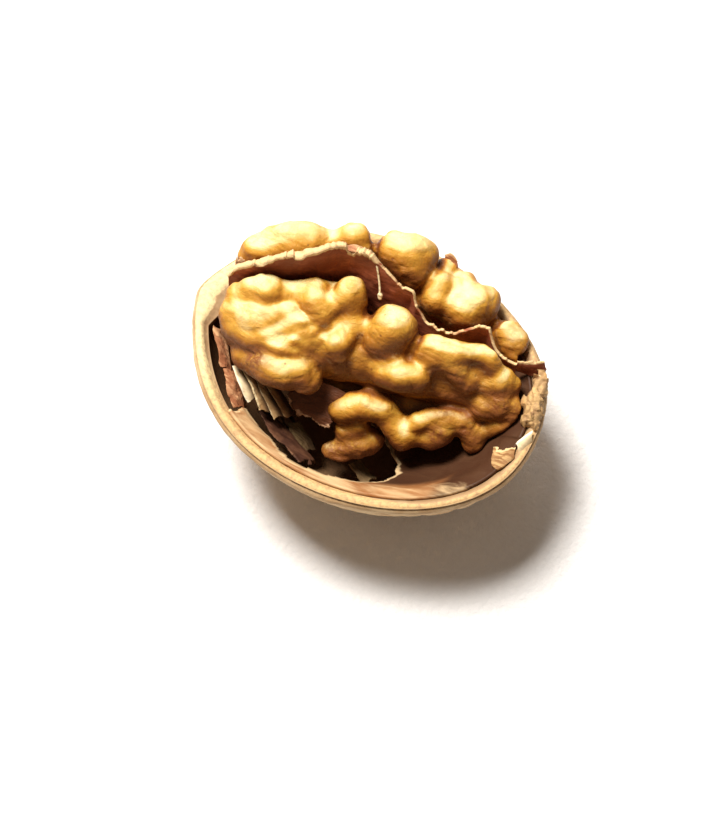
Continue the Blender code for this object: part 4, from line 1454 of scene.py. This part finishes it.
SCRAPS: tuple[Scrap, ...] = (
    Scrap("upper_flap", Tissue.FLAP,
          ((-17.5, -2.6, 15.5), (-16.3, -4.4, 15.5), (-15.0, -6.1, 15.4), (-13.6, -7.6, 15.2)),
          ((-15.9, -3.1, 14.5), (-14.8, -4.1, 14.4), (-13.8, -5.4, 14.3), (-12.7, -6.8, 14.1)),
          crumple=0.34, lip=0.3, skirt=True),
    Scrap("lower_flap", Tissue.FLAP,
          ((-14.0, -7.1, 15.4), (-12.7, -8.5, 15.2), (-11.5, -9.8, 14.9), (-10.1, -11.0, 14.5)),
          ((-12.8, -6.2, 14.3), (-11.5, -7.5, 14.1), (-10.5, -8.7, 13.8), (-9.7, -9.8, 13.6)),
          crumple=0.34, lip=0.3, skirt=True),
    Scrap("pleat_one", Tissue.PALE,
          ((-13.1, -6.1, 15.9), (-11.8, -7.5, 15.7), (-10.5, -8.6, 15.2), (-9.2, -9.4, 14.5)),
          ((-12.2, -5.1, 14.8), (-11.0, -6.2, 14.5), (-9.7, -7.3, 14.1), (-8.4, -8.2, 13.5)),
          ragged=0.06, lip=0.6, skirt=True, foot=0.8),
    Scrap("pleat_two", Tissue.SCRAP,
          ((-11.8, -6.2, 15.6), (-10.4, -7.3, 15.3), (-9.0, -8.4, 14.8), (-7.5, -9.7, 14.0)),
          ((-10.8, -5.3, 14.4), (-9.6, -6.2, 14.0), (-8.2, -7.2, 13.6), (-6.8, -8.3, 12.9)),
          ragged=0.06, lip=0.6, skirt=True, foot=0.9),
    Scrap("pleat_three", Tissue.SCRAP,
          ((-10.5, -6.1, 15.0), (-9.0, -7.3, 14.6), (-7.5, -8.3, 14.0), (-5.8, -9.6, 12.9)),
          ((-9.5, -5.3, 13.8), (-8.1, -6.3, 13.4), (-6.6, -7.3, 12.7), (-5.2, -8.3, 11.9)),
          ragged=0.06, lip=0.5, skirt=True, foot=0.9),
    Scrap("pleat_four", Tissue.CHIP,
          ((-9.0, -6.2, 14.4), (-7.8, -6.9, 14.0), (-6.6, -7.6, 13.4), (-5.3, -8.4, 12.6)),
          ((-8.0, -5.4, 13.0), (-6.8, -6.0, 12.5), (-5.7, -6.7, 12.0), (-4.5, -7.4, 11.4)),
          ragged=0.06, lip=0.4, skirt=True, foot=0.9),
    Scrap("long_fold", Tissue.DUSK,
          ((-9.5, -8.3, 12.2), (-7.4, -9.7, 12.5), (-5.0, -11.1, 13.2), (-2.7, -12.2, 13.9),
           (-0.4, -13.1, 14.4)),
          ((-9.1, -6.8, 10.4), (-6.9, -8.0, 10.2), (-4.5, -8.9, 10.4), (-2.2, -10.0, 11.0),
           (0.2, -11.3, 12.2)),
          ragged=0.12, crumple=0.4, lip=0.3, skirt=True),
    Scrap("green_shred", Tissue.OLIVE,
          ((-5.8, -8.0, 10.4), (-4.6, -8.8, 10.2), (-3.4, -9.5, 9.8), (-2.4, -10.3, 9.4)),
          ((-5.2, -6.4, 9.2), (-3.9, -7.2, 8.8), (-2.6, -7.9, 8.4), (-1.6, -8.9, 8.2)),
          crumple=0.4, lip=0.1, skirt=True),
    Scrap("hook_flap", Tissue.WALL,
          ((14.2, 6.8, 18.6), (15.2, 7.4, 18.0), (16.2, 8.0, 18.2), (17.0, 8.3, 18.4), (17.6, 8.5, 18.2)),
          ((14.4, 6.6, 16.4), (15.4, 6.9, 16.0), (16.5, 7.1, 15.8), (17.4, 7.4, 15.9), (17.8, 8.1, 16.3)),
          ragged=0.45, crumple=0.40),
    Scrap("torn_edge", Tissue.CHIP,
          ((17.3, 6.9, 17.6), (17.9, 6.3, 17.5), (18.4, 5.7, 17.4), (18.7, 4.8, 17.2)),
          ((16.3, 7.5, 15.6), (17.0, 6.8, 15.6), (17.5, 6.0, 15.6), (17.9, 4.9, 15.6)),
          ragged=0.15, crumple=0.3, lip=0.6),
    Scrap("white_flake", Tissue.PALE,
          ((18.4, -0.8, 15.6), (18.6, -0.2, 16.0), (19.0, 0.6, 16.3), (19.5, 1.3, 16.5)),
          ((19.0, -1.7, 15.6), (19.3, -1.1, 15.8), (19.6, -0.2, 15.9), (19.8, 0.6, 16.0)),
          ragged=0.05, crumple=0.15),
    Scrap("loose_piece", Tissue.CHIP,
          ((15.8, -1.3, 13.8), (17.0, -1.0, 14.4), (18.1, -0.9, 14.9), (18.9, -0.9, 15.3)),
          ((17.1, -4.0, 15.4), (18.0, -4.2, 15.7), (18.6, -3.2, 15.8), (18.9, -2.2, 15.8)),
          thickness=0.35, ragged=0.30, crumple=0.35),
    Scrap("film_under_seed", Tissue.FILM,
          ((-6.7, -6.1, 13.4), (-5.5, -7.0, 12.4), (-3.8, -7.5, 11.9), (-1.9, -7.6, 12.0),
           (0.4, -7.4, 12.4)),
          ((-5.9, -4.3, 15.6), (-4.5, -3.9, 15.6), (-3.0, -3.6, 15.4), (-1.5, -3.4, 15.0),
           (0.2, -3.4, 14.6)),
          ragged=0.20, crumple=0.45, lip=0.7),
    Scrap("film_on_wall", Tissue.FLAP,
          ((-7.0, 8.2, 23.4), (-5.9, 9.0, 23.9), (-5.0, 9.1, 23.8), (-3.9, 8.8, 23.8)),
          ((-6.4, 7.4, 25.2), (-5.4, 7.5, 25.3), (-4.5, 7.8, 25.2), (-3.5, 8.0, 25.1)), crumple=0.15),
    Scrap("shred_below_roll", Tissue.OLIVE,
          ((2.1, -8.6, 8.2), (3.1, -9.1, 7.8), (4.1, -9.4, 7.6), (5.1, -9.6, 7.8)),
          ((2.6, -7.2, 7.0), (3.6, -7.6, 6.6), (4.6, -7.9, 6.4), (5.6, -8.1, 6.6)),
          crumple=0.4, lip=0.1, skirt=True),
    # A near-black flake that paints the shade in the crack beside the loose piece
    Scrap("crack_shade_flake", Tissue.CRACK_SHADE,
          ((16.6, -3.4, 14.2), (17.2, -3.1, 14.6), (18.0, -2.7, 15.0)),
          ((16.7, -4.2, 14.6), (17.5, -3.9, 15.0), (18.2, -3.4, 15.3)),
          ragged=0.35, crumple=0.3, lip=0.0),
    Scrap("far_film", Tissue.FLAP,
          ((2.2, 14.2, 19.6), (2.8, 14.7, 20.0), (3.6, 14.6, 19.9), (4.1, 14.0, 19.4)),
          ((2.8, 13.1, 18.6), (3.4, 13.2, 18.6), (3.9, 13.3, 18.4), (4.6, 13.2, 18.2)),
          ragged=0.35, crumple=0.25, lip=0.6),
    Scrap("flake_at_tip", Tissue.FLAP,
          ((-16.9, 2.9, 22.4), (-16.5, 3.3, 22.5), (-16.0, 3.4, 22.0)),
          ((-16.6, 1.6, 19.6), (-16.2, 1.8, 19.6), (-15.7, 2.0, 19.6)), crumple=0.2, ragged=0.4),
)

# The thread and the knot at its end, as chains of (x, y, z, radius)
THREADS: tuple[Chain, ...] = (
    ((-2.7, 8.0, 24.7, 0.16), (-2.4, 7.6, 24.2, 0.13), (-2.0, 7.1, 23.4, 0.11), (-1.5, 6.4, 22.6, 0.11),
     (-1.1, 5.7, 21.9, 0.14)),
    ((-1.1, 5.7, 21.9, 0.30), (-1.0, 5.5, 21.7, 0.22)),
)


@dataclass
class Scraps:
    """Every torn scrap of lining and wall that hangs in the nut."""

    first_noise: int = 80
    noises_each: int = 11

    def build(self, finishes: Finishes) -> list[bpy.types.Object]:
        """Each scrap of the table, crumpled in its own way, and the thread that hangs from the wall's edge.

        Args:
            finishes: the nut's finishes.

        Returns:
            The objects.
        """
        made = [scrap.build(finishes, self.first_noise + self.noises_each * number)
                for number, scrap in enumerate(SCRAPS)]
        return made + [self.thread(finishes)]

    def thread(self, finishes: Finishes) -> bpy.types.Object:
        """A thin thread with a knot at its end, as chains of the field.

        Args:
            finishes: the nut's finishes.

        Returns:
            The thread's object.
        """
        table = np.concatenate([np.array(chain) for chain in THREADS])
        solid = Field(table[:, :3].min(0) - 0.7, table[:, :3].max(0) + 0.7, 0.06, far=0.5)
        for chain in THREADS:
            solid.add_chain(chain, 0.08)
        surface = solid.surface()
        surface.marks = {"edge": np.full(len(surface.points), 0.6)}
        return surface.build("wall_thread", finishes.sheets[Tissue.SCRAP])


# The stage


@dataclass
class Stage:
    """The pale floor, the light and the camera at the photograph's angle."""

    camera_at: Place = (45.28, -87.24, 257.07)
    back: Place = (0.170, -0.334, 0.927)
    right: Place = (0.891, 0.454, 0.0)
    lens: float = 106.0
    shift: tuple[float, float] = (-0.0146, -0.0469)
    floor_half: float = 700.0

    def floor(self) -> bpy.types.Object:
        """A flat pale floor, faintly uneven.

        Returns:
            The floor's object.
        """
        edge = self.floor_half
        corners = np.array([(-edge, -edge, 0), (edge, -edge, 0), (edge, edge, 0), (-edge, edge, 0)])
        made, nodes, shader = start_material("floor_pale")
        soft = nodes.noise(0.9, 6, 0.6)
        shade = nodes.mix(soft, colour(0.80, 0.79, 0.79), colour(0.88, 0.87, 0.87))
        nodes.put(shader.inputs["Base Color"], shade)
        shader.inputs["Roughness"].default_value = 0.9
        nodes.put(shader.inputs["Normal"], nodes.bump(soft, 0.25))
        return Surface(corners, np.array([[0, 1, 2, 3]])).build("floor", made)

    def light(self, name: str, towards: Place, distance: float, size: float, power: float,
              tint: Place) -> None:
        """A square lamp that faces the nut.

        Args:
            name: the lamp's name.
            towards: the direction from the nut to the lamp.
            distance: how far off it is, in metres.
            size: its side, in metres.
            power: its power, in watts.
            tint: its colour.
        """
        data = bpy.data.lights.new(name, "AREA")
        data.energy, data.size, data.color = power, size, tint
        made = bpy.data.objects.new(name, data)
        direction = Vector(towards).normalized()
        made.location = direction * distance + Vector((0, 0, 0.012))
        made.rotation_euler = direction.to_track_quat("Z", "Y").to_euler()
        bpy.context.scene.collection.objects.link(made)

    def build(self) -> None:
        """Set the floor, the lamps, the faint light from all round and the camera."""
        self.floor()
        self.light("key", (-0.37, 0.15, 0.92), 0.50, 0.16, 4.7, (1.0, 0.97, 0.92))
        self.light("sky", (-0.66, 0.60, 0.45), 0.50, 0.26, 0.4, (1.0, 0.98, 0.95))
        world = bpy.data.worlds.new("room")
        world.use_nodes = True
        world.node_tree.nodes["Background"].inputs["Color"].default_value = colour(1.0, 0.84, 0.70)
        world.node_tree.nodes["Background"].inputs["Strength"].default_value = 0.18
        bpy.context.scene.world = world
        bpy.context.scene.view_settings.view_transform = "Standard"
        back, right = Vector(self.back).normalized(), Vector(self.right).normalized()
        up = back.cross(right)
        data = bpy.data.cameras.new("camera")
        data.lens, data.sensor_width, data.clip_start = self.lens, 36.0, 0.01
        data.shift_x, data.shift_y = self.shift
        made = bpy.data.objects.new("camera", data)
        turned = Matrix((right, up, back)).transposed().to_4x4()
        made.matrix_world = Matrix.Translation(Vector(self.camera_at) * MM) @ turned
        bpy.context.scene.collection.objects.link(made)
        bpy.context.scene.camera = made


def main() -> None:
    """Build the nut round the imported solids, then the stage."""
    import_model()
    finishes = Finishes()
    slots = {Shell: "shell_wood", Lining: "lining_skin", Divider: "dividing_paper", Seed: "seed_skin",
             Scraps: "lining_skin"}
    for kind, slot in slots.items():
        for piece in kind().build(finishes):
            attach(piece, "root")
            log.info("%s: %d faces", piece.name, len(piece.data.polygons))
    Stage().build()


if __name__ == "__main__":
    logging.basicConfig(level=logging.INFO, format="%(name)s %(message)s")
    main()
